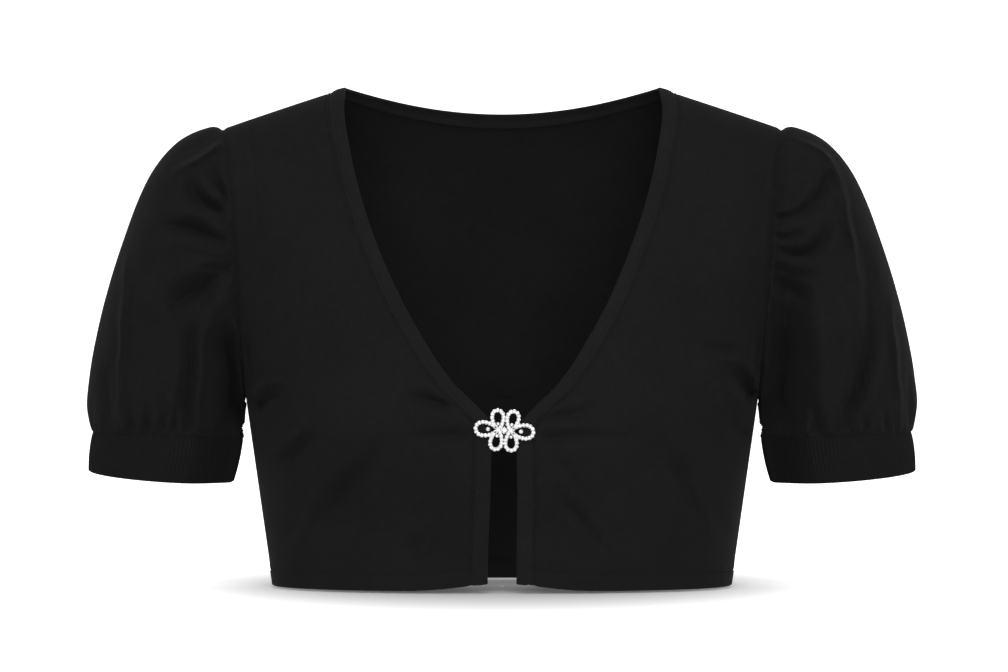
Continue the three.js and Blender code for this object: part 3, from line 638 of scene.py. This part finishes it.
def hem_thickness(points):
    up = from_borders(points)["low"]
    return JERSEY * (1 + step_down((up - TURNED_UP_TO) / TURNED_UP_STEP))


def in_place(piece, slot, *nodes):
    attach(piece, "root")
    if nodes:
        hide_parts(*nodes)


fronts = {}
for name, side in (("left", 1), ("right", -1)):
    levels = body_levels()
    start = band_outer(levels, side)
    columns = np.linspace(0, 1, FRONT_COLUMNS)
    lattice = body_point(levels, lerp(start, 1, columns), -1, side)
    to_band = body_point(levels, start * np.linspace(0, 1, BAND_COLUMNS), -1, side)
    before = from_borders(to_band)["start"][:, -1:]
    panel = hemmed(lattice, MIDDLE)
    fronts[name] = cloth(
        "front_panel_" + name, panel, MIDDLE, hem_thickness(panel), jersey,
        sewn=("start", "end", "high"), first_u=before,
    )
    in_place(fronts[name], "jersey", "front_" + name)

# Back
# The back panel, one piece of the same jersey between the side seams, with a turned-up hem. It
# hangs plain, with shallow folds towards the underarms and across the waist.
BACK_NECK_DROP = 14.8
BACK_NECK_CURVE = 1.12
BACK_BAND_FALL = 8.6
BACK_NECK_COLUMNS = 96
BACK_SIDE_COLUMNS = 40
BACK_FOLDS_FADE = 25
BACK_WAVES_SHIFT = 30


def back_level(x, z):
    low, high = np.ones_like(x), np.full_like(x, 2)
    for _ in range(SEARCH_STEPS):
        level = (low + high) / 2
        below = height_at(station(level, 1), x) < z
        low, high = np.where(below, level, low), np.where(below, high, level)
    return high


def back_neck(u, t):
    """Level and place across of the band behind the neck: u runs from -1 at the wearer's right to
    1 at the left, and t from 0 at the band's free edge to 1 at its seam."""
    x = (NECK_HALF + t * BACK_BAND_WIDTH) * np.abs(u)
    shoulder_z = -t * BACK_BAND_WIDTH * SHOULDER_DROP / (SHOULDER_HALF - NECK_HALF)
    centre_z = -BACK_NECK_DROP - t * BACK_BAND_FALL
    z = lerp(shoulder_z, centre_z, (1 - u * u) ** BACK_NECK_CURVE)
    level = np.where(np.abs(u) >= 1, 2, back_level(x, z))
    return level, across_at(level, 1, lambda _: x)


def settled(level, top):
    """Levels above the underarm settle into the neck's curve more and more towards the top."""
    return level - (2 - top) * np.maximum(0, level - 1) ** 3


BACK_FOLDS = [
    Fold(162, -196, 128, -214, 3, 5, 3, 0),
    Fold(160, -214, 96, -262, -5, 8, 2.4, 0.3),
    Fold(163, -176, 120, -168, 3, 5, 1.6, 0),
    Fold(120, -236, 78, -300, 4, 8, 1.6, 0.4),
    Fold(60, -236, -20, -252, 6, 8, 1.5, 0.5),
    Fold(-160, -204, -118, -224, -3, 5, 2.8, 0),
    Fold(-163, -184, -128, -178, -2, 4.5, 1.8, 0),
    Fold(-158, -226, -88, -284, 6, 8, 2.2, 0.3),
    Fold(-104, -232, -70, -240, 0, 7, 1.2, 0.5),
    Fold(-60, -258, -26, -308, -3, 7, 1.4, 0.5),
    Fold(34, -262, 52, -306, 2, 6, -1, 0.5),
    Fold(-30, -214, 42, -220, -4, 8, 1, 0.5),
]
u = np.linspace(-1, 1, BACK_NECK_COLUMNS + 1)
neck_level, neck_across = back_neck(u, np.ones_like(u))
outer = lerp(1, neck_across[0], np.linspace(0, 1, BACK_SIDE_COLUMNS, endpoint=False))
one_side = np.ones(BACK_SIDE_COLUMNS)
top_level = np.concatenate([2 * one_side, neck_level, 2 * one_side])
top_across = np.concatenate([outer, neck_across, outer[::-1]])
top_side = np.concatenate([-one_side, np.where(u < 0, -1, 1), one_side])
back_lattice = body_point(settled(body_levels(), top_level), top_across, 1, top_side)
away = from_borders(back_lattice)
inside = np.minimum(np.minimum(away["start"], away["end"]), away["high"]) / BACK_FOLDS_FADE
fold = fold_depth(BACK_FOLDS, FRONT_FOLD_STRENGTH, back_lattice[..., 0], back_lattice[..., 2])
fold += broad_waves(BACK_WAVES_SHIFT - back_lattice[..., 0], back_lattice[..., 2])
back_lattice = back_lattice - outward(back_lattice, MIDDLE) * (fold * np.minimum(1, inside))[..., None]
panel = hemmed(back_lattice, MIDDLE)
back = cloth("back_panel", panel, MIDDLE, hem_thickness(panel), jersey, sewn=("start", "end", "high"))
in_place(back, "jersey", "back")

# Neck band
# One strip of jersey folded along its length and sewn round the neck and down both front edges,
# with a groove where a row of cover stitches holds its seam.
BAND_RAISE = 0.5
BAND_THICK = 2.0
BAND_CROWN = 0.35
BAND_WIDTHWISE = 13
BAND_BEHIND = 110
BAND_GROOVE = 0.35
BAND_GROOVE_WIDTH = 0.09  # a share of the band's width
BAND_PUCKER = 0.2
BAND_PUCKER_WIDTH = 0.2
BAND_PUCKER_LENGTH = 6
STITCH_ROWS = (0.76, 1.1)  # shares of the band's width, from its free edge


def band_lattice(t):
    """Rows of points along the band, from the left front hem round the neck to the right one."""
    levels = body_levels()
    stretches = []
    for side in (1, -1):
        across = lerp(band_inner(levels, side), band_outer(levels, side), t)
        stretches.append(body_point(levels, across, -1, side))
    u = np.linspace(1, -1, BAND_BEHIND)[1:-1, None]
    level, across = back_neck(u + 0 * t, t + 0 * u)
    behind = body_point(level, across, 1, np.where(u < 0, -1, 1))
    return np.concatenate([stretches[0], behind, stretches[1][::-1]])


t = np.linspace(0, 1, BAND_WIDTHWISE)
strip = band_lattice(t)
from_row = t - STITCH_ROWS[0]
lift = BAND_RAISE + BAND_CROWN * np.sin(pi * t) - BAND_GROOVE * bump_at(from_row, BAND_GROOVE_WIDTH)
pull = BAND_PUCKER * uneven(from_borders(strip)["low"], BAND_PUCKER_LENGTH)
pull = pull * bump_at(from_row, BAND_PUCKER_WIDTH)
strip_out = strip + outward(strip, MIDDLE) * (lift + pull)[..., None]
# The band's loops run crosswise, and its colours are lighter than the panels' to paint on the sheen of
# those loops.
band_jersey_painted_sheen = knit("black_jersey_doubled_painted_sheen", 0.0042, 0.0138, wale=0.62, course=0.85, relief=0.14)
band = cloth("neck_band_strip", strip_out, MIDDLE, BAND_THICK, band_jersey_painted_sheen, sewn=("end",))
in_place(band, "jersey", "neck_band")

# Cover stitching
# Spun polyester thread: a row of short straight stitches along the hem, and one along each side of
# the band's seam.
STITCH = 1.9
STITCH_GAP = 0.7
THREAD = 0.2  # half its thickness
STITCH_SHAPE = {
    "along": [0, 0.2, 0.8, 1],
    "height": [-0.25, 0.1, 0.1, -0.25],
    "girth": [0.5, 1, 1, 0.5],
}
THREAD_SIDES = 5
HEM_LINE_COLUMNS = 120
HEM_THREAD_RAISE = -0.02
BAND_THREAD_RAISE = (0.5, 0.02)
BESIDE_STITCH_ROWS = (0.72, 1.14)


def reach_along(path):
    """How far along a path each of its points lies."""
    return np.concatenate([[0], np.cumsum(np.linalg.norm(np.diff(path, axis=0), axis=1))])


def picked(at, reach, values):
    """Points or directions at lengths along a path, between those given."""
    return np.stack([np.interp(at, reach, values[:, k]) for k in range(3)], -1)


def straight_stitches(path, normals):
    """The centre line of each stitch of a row, with the normals under it."""
    reach = reach_along(path)
    starts = np.arange(STITCH_GAP, reach[-1] - STITCH, STITCH + STITCH_GAP)
    at = starts[:, None] + STITCH * np.array(STITCH_SHAPE["along"])
    return picked(at, reach, path), unit(picked(at, reach, normals))


def thread_mesh(name, groups):
    """Stitches as short round lengths of thread, from groups of centre lines and normals."""
    girth = np.array(STITCH_SHAPE["girth"]) * THREAD
    height = np.array(STITCH_SHAPE["height"])
    around = np.arange(THREAD_SIDES) * tau / THREAD_SIDES
    points = []
    for line, normal in groups:
        line = line + normal * height[:, None]
        run = unit(np.gradient(line, axis=1))
        beside = unit(np.cross(run, normal))
        ring = beside[:, :, None] * np.cos(around)[:, None]
        ring = ring + normal[:, :, None] * np.sin(around)[:, None]
        points.append(line[:, :, None] + ring * girth[:, None, None])
    points = np.concatenate(points)
    count, steps = points.shape[:2]
    faces = []
    for k in range(count):
        first = k * steps * THREAD_SIDES
        for i in range(steps - 1):
            for j in range(THREAD_SIDES):
                a = first + i * THREAD_SIDES + j
                b = first + i * THREAD_SIDES + (j + 1) % THREAD_SIDES
                faces.append((a, b, b + THREAD_SIDES, a + THREAD_SIDES))
        faces.append(tuple(first + j for j in reversed(range(THREAD_SIDES))))
        faces.append(tuple(first + (steps - 1) * THREAD_SIDES + j for j in range(THREAD_SIDES)))
    return new_mesh(name, points, faces)


thread, tree, shader = new_material("black_thread", {
    "Base Color": (0.016, 0.016, 0.016, 1), "Specular IOR Level": 0.1,
})
place = add_node(tree, "TexCoord").outputs["Object"]
fibres = add_node(tree, "TexNoise", {"Vector": place, "Scale": 4000, "Detail": 2})
add_roughness(tree, shader, fibres.outputs[0], 0.4, 0.7)
add_bump(tree, shader, fibres.outputs[0], strength=0.5, distance=0.05)

hem_panels = [back_lattice]
for side in (1, -1):
    levels = body_levels()
    across = lerp(band_outer(levels, side), 1, np.linspace(0.01, 1, HEM_LINE_COLUMNS))
    hem_panels.append(body_point(levels, across, -1, side))


def hem_line(lattice, raise_by):
    """The hem's row of stitches on a panel's lattice, and its normals."""
    up = from_borders(lattice)["low"][:, 0]
    k = np.searchsorted(up, HEM_STITCH_UP)
    share = (HEM_STITCH_UP - up[k - 1]) / (up[k] - up[k - 1])
    normals = outward(lattice, MIDDLE)
    line = lerp(lattice[k - 1], lattice[k], share)
    normal = unit(lerp(normals[k - 1], normals[k], share))
    return line + normal * raise_by, normal


hem_groups = [straight_stitches(*hem_line(lattice, HEM_THREAD_RAISE)) for lattice in hem_panels]
hem_thread = new_object("hem_stitches", thread_mesh("hem_stitches", hem_groups), thread)
in_place(hem_thread, "jersey")

rows = band_lattice(np.array([BESIDE_STITCH_ROWS[0], *STITCH_ROWS, BESIDE_STITCH_ROWS[1]]))
row_normals = outward(rows, MIDDLE)
band_groups = []
for k, raise_by in enumerate(BAND_THREAD_RAISE, 1):
    band_groups.append(straight_stitches(rows[:, k] + row_normals[:, k] * raise_by, row_normals[:, k]))
band_thread = new_object("band_stitches", thread_mesh("band_stitches", band_groups), thread)
in_place(band_thread, "jersey")

# Sleeves
# Short puff sleeves of the same jersey, gathered into the front and back of the armhole and again
# into the cuff, with a seam under the arm.
SLEEVE_RINGS = {
    "under_x": [168.8, 169.3, 169.9, 170.4, 170.8, 171, 171.2,
                171.4, 171.6, 171.8, 171.8, 171.5, 171.2, 170.8],
    "under_z": [-205.2, -206.6, -208.2, -210, -211.9, -213.8, -216,
                -218.3, -220.7, -223.1, -225.5, -227.6, -229.2, -230.4],
    "outer_x": [184.3, 190.5, 200.2, 211, 221.5, 231.4, 240.4,
                249.5, 258.5, 266, 271.5, 273.7, 272.3, 269.9],
    "outer_z": [-27, -25.6, -28.2, -33.6, -43, -56.6, -75.2, -100, -128, -157, -186, -207, -219, -227],
    "depth": [57, 60, 63, 65.5, 67, 67.5, 67, 66, 64.5, 62.5, 60, 56.5, 53.5, 50.5],
    "pressed": [0, 1, 3, 5, 7, 9, 10, 11, 12, 13, 13, 13, 13, 13],
}
PRESSED_TO = pi * 0.38  # how far round from the underarm the body presses the sleeve in
SLEEVE_FOLDS = {
    "right": [
        Fold(-179, -34, -217, -61, 0, 2.2, -2, 0.3),
        Fold(-184, -28, -222, -52, 0, 5, 1.3, 0.4),
        Fold(-178, -84, -192, -49, 1.5, 3, 3.4, 0.3),
        Fold(-179, -87, -206, -58, 4.5, 4, 3.6, 0.35),
        Fold(-178, -80, -199, -58, 3, 2.6, -1, 0.3),
        Fold(-177, -107, -226, -92, -4.3, 5, 3.7, 0.45),
        Fold(-177, -113, -215, -103, -3, 3, -1, 0.2),
        Fold(-176, -119, -197, -119, 0, 1.8, 1.5, 0),
        Fold(-178, -121, -216, -147, 0, 7, 4.8, 0.5),
        Fold(-190, -134, -193, -158, 0, 6, 1.8, 0.3),
        Fold(-240, -144, -224, -162, 0, 6, 1.2, 0.4),
        Fold(-249, -212, -245, -106, 0, 2, -1.7, 0.5),
        Fold(-256, -228, -257, -176, 0, 4.5, 1.9, 0.3),
        Fold(-241, -228, -241, -204, 0, 3, 1.7, 0),
        Fold(-230, -228, -231, -206, 0, 2.4, 1.8, 0),
        Fold(-222, -228, -216, -209, 0, 2.2, 1.5, 0),
        Fold(-214, -228, -208, -204, 0, 2.8, 1.8, 0),
        Fold(-205, -230, -199, -142, 0, 4.6, 4.4, 0.25),
        Fold(-193, -215, -190, -160, 0, 4, -1, 0.5),
        Fold(-181, -154, -179, -240, 0, 8.5, 8.5, 0.2),
        Fold(-172, -252, -179, -160, 0, 11, 8, 0.35),
    ],
    "left": [
        Fold(192, -34, 222, -66, 6, 2.1, -1.7, 0.4),
        Fold(195, -86, 215, -55, -1.2, 4.4, 3.8, 0.45),
        Fold(190, -86, 206, -55, -1, 3, -1, 0.4),
        Fold(179, -72, 189, -66, 0, 2, 1.5, 0),
        Fold(180, -86, 200, -80, -2, 2.6, 2.4, 0),
        Fold(179, -98, 197, -92, -4, 2.4, 2, 0),
        Fold(178, -108, 214, -88, -11, 4, 3.4, 0.3),
        Fold(178, -118, 207, -126, -1.5, 2.6, 2.2, 0.1),
        Fold(179, -122, 199, -144, 0, 5, 3.8, 0.3),
        Fold(232, -131, 219, -56, 0, 2.1, -1.9, 0.5),
        Fold(238, -154, 236, -100, 0, 4.5, 1.8, 0.5),
        Fold(260, -216, 253, -136, 0, 2, -1.7, 0.5),
        Fold(267, -228, 266, -176, 0, 4, 1.6, 0.2),
        Fold(217, -230, 239, -132, -6, 4.8, 3.6, 0.3),
        Fold(227, -228, 246, -150, -5, 4, -1, 0.4),
        Fold(204, -229, 200, -200, 0, 4, 3, 0),
        Fold(237, -228, 235, -211, 0, 2.4, 1.4, 0),
        Fold(250, -228, 249, -209, 0, 2.4, 1.3, 0),
        Fold(185, -130, 181, -186, 0, 10, 3.4, 0.45),
        Fold(187, -132, 184, -242, 0, 11, 6.5, 0.45),
        Fold(182, -248, 187, -158, 0, 9, 8, 0.35),
    ],
}
SLEEVE_FOLD_STRENGTH = 3.2
TURN_OVER = 9  # near the sleeve's middle, where its front folds give way to those behind
TUCKED_RINGS = 3
HELD_REACH = 6  # how far the seams hold the folds flat
HELD_BY_DEPTH = 0.6  # and how much further for each millimetre of depth
SLEEVE_ROWS = 124
SLEEVE_AROUND = 330
ALLOWANCE = 2.5  # turned in under the panels at the armhole
SEWN_TUBE = ("high", "start", "end")
SLEEVE_WAVES = 1.4
BEHIND_SHIFT = 40
Puckers = namedtuple("Puckers", "depth length reach start")
CAP_PUCKERS = Puckers(0.9, 11, 9, 40)
CUFF_PUCKERS = Puckers(0.75, 8.5, 10, -70)
PUCKERS_FROM = 2  # they grow over this far from the seam
GATHERS_GAIN, GATHERS_BARE = 1.6, 0.25  # the cap is bare of puckers at its top and under the arm

last_ring = len(SLEEVE_RINGS["depth"]) - 1
ring_line = {name: through(range(last_ring + 1), values) for name, values in SLEEVE_RINGS.items()}


def ring_at(s):
    """The sleeve's ring at a place from the armhole, 0, to the cuff's seam."""
    return {name: line(s) for name, line in ring_line.items()}


def ring_point(ring, angle, push):
    """A point on a ring, for the wearer's left. push moves it straight out from the middle."""
    middle_x = (ring["under_x"] + ring["outer_x"]) / 2
    middle_z = (ring["under_z"] + ring["outer_z"]) / 2
    x = -(ring["outer_x"] - middle_x) * np.cos(angle)
    beside_body = np.sin(pi * np.clip(angle / PRESSED_TO, 0, 1)) ** 2
    y = ring["pressed"] * beside_body - ring["depth"] * np.sin(angle)
    z = -(ring["outer_z"] - middle_z) * np.cos(angle)
    grow = 1 + push / np.sqrt(x * x + y * y + z * z)
    return np.stack(np.broadcast_arrays(x * grow + middle_x, y * grow, z * grow + middle_z), axis=-1)


def sleeve_folds(plain, side):
    """How deep the folds are at each point of a sleeve. The back has the other sleeve's folds."""
    x, y, z = np.moveaxis(plain, -1, 0)
    front, behind = ("left", "right") if side > 0 else ("right", "left")
    back_share = step_down(-y / TURN_OVER)
    depth = lerp(
        fold_depth(SLEEVE_FOLDS[front], SLEEVE_FOLD_STRENGTH, side * x, z),
        fold_depth(SLEEVE_FOLDS[behind], SLEEVE_FOLD_STRENGTH, -side * x, z),
        back_share,
    )
    return depth + SLEEVE_WAVES * broad_waves(side * x + BEHIND_SHIFT * back_share, z)


def held_at_seams(depth, away):
    """The folds' depth, held flat at the armhole and the cuff, deep folds from further off."""
    held = HELD_REACH + HELD_BY_DEPTH * np.maximum(0, depth)
    free = np.clip(np.minimum(away["low"] / HELD_REACH, away["high"] / held), 0, 1)
    return depth * free * free * (3 - 2 * free)


def puckered(puckers, around, off, side):
    """Small gathers that stand out beside a seam, this far off it."""
    waves = puckers.depth * uneven(around + puckers.start * side, puckers.length)
    return waves * np.exp(-off / puckers.reach) * np.minimum(1, off / PUCKERS_FROM)


def sleeve_lattice(side):
    s = np.linspace(0, last_ring, SLEEVE_ROWS)[:, None]
    angle = np.linspace(0, tau, SLEEVE_AROUND + 1)[None, :]
    ring = ring_at(s)
    plain = ring_point(ring, angle, 0)
    away = from_borders(plain)
    depth = held_at_seams(sleeve_folds(plain, side), away)
    rise = (1 - np.cos(angle)) / 2
    gathered = np.clip(GATHERS_GAIN * np.sin(pi * rise) - GATHERS_BARE, 0, 1)
    cap = gathered * puckered(CAP_PUCKERS, away["start"], away["low"], side)
    end = puckered(CUFF_PUCKERS, away["start"], away["high"], side)
    points = ring_point(ring, angle, cap + end)
    points[..., 1] -= depth * plain[..., 1] / np.hypot(plain[..., 1], TURN_OVER)
    points[..., 0] -= ARMHOLE_TUCK * np.maximum(0, 1 - s / TUCKED_RINGS) * tuck_share(rise)
    points[..., 0] *= side
    points = sewn_in(points, points.mean(axis=1, keepdims=True), ["low"])
    first = points[:1].copy()
    first[..., 0] -= side * ALLOWANCE
    first += unit(first.mean(axis=1, keepdims=True) - first) * ALLOWANCE / 2
    return np.concatenate([first, points])


sleeves = {}
for name, side in (("left", 1), ("right", -1)):
    lattice = sleeve_lattice(side)
    middles = lattice[:, :-1].mean(axis=1, keepdims=True)
    sleeves[name] = cloth("sleeve_cloth_" + name, lattice, middles, JERSEY, jersey, SEWN_TUBE)
    in_place(sleeves[name], "jersey", "sleeve_" + name)

# Cuffs
# Doubled bands of one-by-one rib knit, folded at the lower edge and sewn to the gathered sleeve.
# The ribs are rounded and stand close, and they lean a little here and there.
CUFF_BOTTOM = {
    "under_x": 177.2,
    "under_z": -259.8,
    "outer_x": 272.6,
    "outer_z": -252.4,
    "depth": 49.5,
    "pressed": 13,
}
CUFF_RIBS = 116
CUFF_SWELL = 0.8
RIB_RELIEF = 0.42
RIB_POINTS = 8
CUFF_THICK = 1.9
CUFF_SAG = 2.6
CUFF_ROWS = 22

rib = knit("black_rib", 0.0034, 0.01, wale=2.7, course=0.9, relief=0.12)


def cuff_lattice(side):
    angle = np.linspace(0, tau, CUFF_RIBS * RIB_POINTS + 1)[None, :]
    down = np.linspace(1, 0, CUFF_ROWS)[:, None]
    seam = ring_at(last_ring)
    ring = {name: lerp(seam[name], CUFF_BOTTOM[name], down) for name in seam}
    lean = 0.006 * np.sin(3 * angle + 2 * down) + 0.004 * np.sin(7 * angle + side)
    ribs = np.abs(np.cos((angle + lean * down) * CUFF_RIBS / 2))
    swell = CUFF_SWELL * np.sin(pi * down)
    points = ring_point(ring, angle, RIB_RELIEF * (ribs - 0.5) + swell)
    points[..., 2] -= CUFF_SAG * np.maximum(0, np.sin(angle)) * down
    points[..., 0] *= side
    return points


cuffs = {}
for name, side in (("left", 1), ("right", -1)):
    lattice = cuff_lattice(side)
    middles = lattice[:, :-1].mean(axis=1, keepdims=True)
    cuffs[name] = cloth("cuff_rib_" + name, lattice, middles, CUFF_THICK, rib, SEWN_TUBE)
    in_place(cuffs[name], "rib", "cuff_" + name)

# Clasp
# Two halves, each of three teardrop loops of claw-set rhinestones on silver-plated cups, about a
# hub stone. A square stone on the right half covers the place where the two hook together.
CLASP_X, CLASP_Z = 1.6, -223.6
CLASP_TILT = 4.4
CLASP_STANDOFF = 0.7
CUP_RADIUS = 1.1
HUB_SPACING = 8
LOOP_ROOT = 0.6
LOOP_TAPER = 0.3
Loop = namedtuple("Loop", "half angle length width stones root_out root_radius")
LOOPS = [
    Loop("right", 180, 14.4, 8.2, 15, 5.9, 1.15),
    Loop("right", 96, 12.5, 7, 13, 3.3, 0.85),
    Loop("right", 264, 12.5, 7, 13, 3.3, 0.85),
    Loop("left", 0, 14.4, 8.2, 15, 5.9, 1.15),
    Loop("left", 84, 12.5, 7, 13, 3.3, 0.85),
    Loop("left", 276, 12.5, 7, 13, 3.3, 0.85),
]
STONE_RADIUS = 1.18
STONE_SIDES = 8
CUP_SIDES = 12
HUB_STONE = 1.45
SQUARE_STONE = 2.4
SQUARE_AT = (-0.2, -0.5, 0)
LOOP_STEPS = 400
CLAWS = 4


def clasp_place(points):
    """Points of the clasp, from its own plane to where it lies on the two bands."""
    tilt = radians(CLASP_TILT)
    level = np.array([[(CLASP_Z - HEM_Z) / (UNDERARM_Z - HEM_Z)]])
    seat = body_point(level, band_inner(level, 1), -1, 1)[0, 0, 1]
    points = np.asarray(points, float)
    x = points[..., 0] * cos(tilt) + points[..., 2] * sin(tilt) + CLASP_X
    y = points[..., 1] + seat - BAND_RAISE - CLASP_STANDOFF - CUP_RADIUS
    z = points[..., 2] * cos(tilt) - points[..., 0] * sin(tilt) + CLASP_Z
    return np.stack([x, y, z], -1)


def hub(half):
    return np.array([HUB_SPACING / 2 if half == "left" else -HUB_SPACING / 2, 0, 0])


def loop_line(loop, t):
    """The centre line of a loop, in the clasp's plane."""
    angle = radians(loop.angle)
    along = LOOP_ROOT + (loop.length - LOOP_ROOT) / 2 * (1 - np.cos(t))
    aside = loop.width / 2 * np.sin(t) * (1 - LOOP_TAPER * np.cos(t))
    x = along * cos(angle) - aside * sin(angle)
    z = along * sin(angle) + aside * cos(angle)
    return hub(loop.half) + np.stack([x, 0 * t, z], -1)


def stone_places(half):
    """Where each stone of a half sits, and its radius."""
    places = []
    for loop in (each for each in LOOPS if each.half == half):
        line = loop_line(loop, np.linspace(0, tau, LOOP_STEPS))
        reach = reach_along(line)
        skip = HUB_STONE + STONE_RADIUS - LOOP_ROOT
        at = np.linspace(skip, reach[-1] - skip, loop.stones)
        places += [(place, STONE_RADIUS) for place in picked(at, reach, line)]
        angle = radians(loop.angle)
        out = np.array([cos(angle), 0, sin(angle)])
        places.append((line[0] + loop.root_out * out, loop.root_radius))
    places.append((hub(half), HUB_STONE))
    return places


def turned(profile, sides, centre, spin):
    """A many-sided form turned from a profile of radii and depths, towards the front."""
    points, faces = [], []
    for radius, depth in profile:
        for k in range(sides):
            a = spin + k * tau / sides
            points.append(centre + np.array([radius * cos(a), depth, radius * sin(a)]))
    for i in range(len(profile) - 1):
        for k in range(sides):
            n = (k + 1) % sides
            faces.append((i * sides + k, i * sides + n, (i + 1) * sides + n, (i + 1) * sides + k))
    faces.append(tuple(range(sides - 1, -1, -1)))
    faces.append(tuple((len(profile) - 1) * sides + k for k in range(sides)))
    return points, faces


def joined(name, parts):
    points, faces = [], []
    for more_points, more_faces in parts:
        faces += [tuple(k + len(points) for k in face) for face in more_faces]
        points += list(more_points)
    return new_mesh(name, clasp_place(points), faces, smooth=False)


def cut_stone(centre, radius, sides, spin):
    """A cut stone: a flat table, a crown of facets, and the girdle down in its cup."""
    profile = [(radius, -0.25), (radius, -0.45), (0.8 * radius, -0.45 - 0.3 * radius),
               (0.5 * radius, -0.5 - 0.42 * radius)]
    return turned(profile, sides, centre, spin)


def cup(centre, radius, sides, spin):
    """A stone's metal cup, open at the front."""
    wall = radius + 0.14
    profile = [(0.7 * wall, CUP_RADIUS), (wall, 0.7 * CUP_RADIUS), (wall, -0.4), (0.9 * wall, -0.46),
               (0.86 * wall, -0.3)]
    return turned(profile, sides, centre, spin)


def claw(centre, radius, angle):
    """A small claw bent over a stone's edge."""
    foot = centre + np.array([radius * cos(angle), -0.42, radius * sin(angle)])
    return turned([(0.26, 0.3), (0.26, -0.1), (0.18, -0.26), (0.06, -0.32)], 6, foot, angle)


silver, tree, shader = new_material("silver_plate", {
    "Base Color": (0.92, 0.92, 0.92, 1), "Metallic": 1,
})
place = add_node(tree, "TexCoord").outputs["Object"]
wear = add_node(tree, "TexNoise", {"Vector": place, "Scale": 900, "Detail": 3})
add_roughness(tree, shader, wear.outputs[0], 0.25, 0.5)
add_bump(tree, shader, wear.outputs[0], strength=0.15, distance=0.03)

crystal, tree, shader = new_material("rhinestone", {
    "Metallic": 0.2, "IOR": 1.7, "Coat Weight": 1, "Coat Roughness": 0.03,
})
place = add_node(tree, "TexCoord").outputs["Object"]
# Small cells, light at their centres and grey at their edges, paint glints into the stones' base
# colour; the same cells vary the roughness.
painted_glint_cells = add_node(tree, "TexVoronoi", {"Vector": place, "Scale": 1300}, feature="F1")
tone_with_painted_light = add_node(tree, "MixRGB", {
    "Fac": painted_glint_cells.outputs["Distance"], "Color1": (0.97, 0.97, 0.97, 1), "Color2": (0.6, 0.61, 0.63, 1),
})
tree.links.new(tone_with_painted_light.outputs[0], shader.inputs["Base Color"])
add_roughness(tree, shader, painted_glint_cells.outputs["Distance"], 0.04, 0.2)

for half in ("left", "right"):
    cups, stones = [], []
    for k, (centre, radius) in enumerate(stone_places(half)):
        spin = 1.7 * k
        stones.append(cut_stone(centre, radius, STONE_SIDES, spin))
        cups.append(cup(centre, radius, CUP_SIDES, spin))
        cups += [claw(centre, radius, spin + j * tau / CLAWS) for j in range(CLAWS)]
    if half == "right":
        centre = np.array(SQUARE_AT)
        stones.append(cut_stone(centre, SQUARE_STONE, 4, 0))
        cups.append(cup(centre, SQUARE_STONE, 4, 0))
    setting = new_object("clasp_setting_" + half, joined("clasp_setting_" + half, cups), silver)
    shine = new_object("clasp_stones_" + half, joined("clasp_stones_" + half, stones), crystal)
    in_place(setting, "clasp", "clasp_" + half)
    in_place(shine, "clasp")
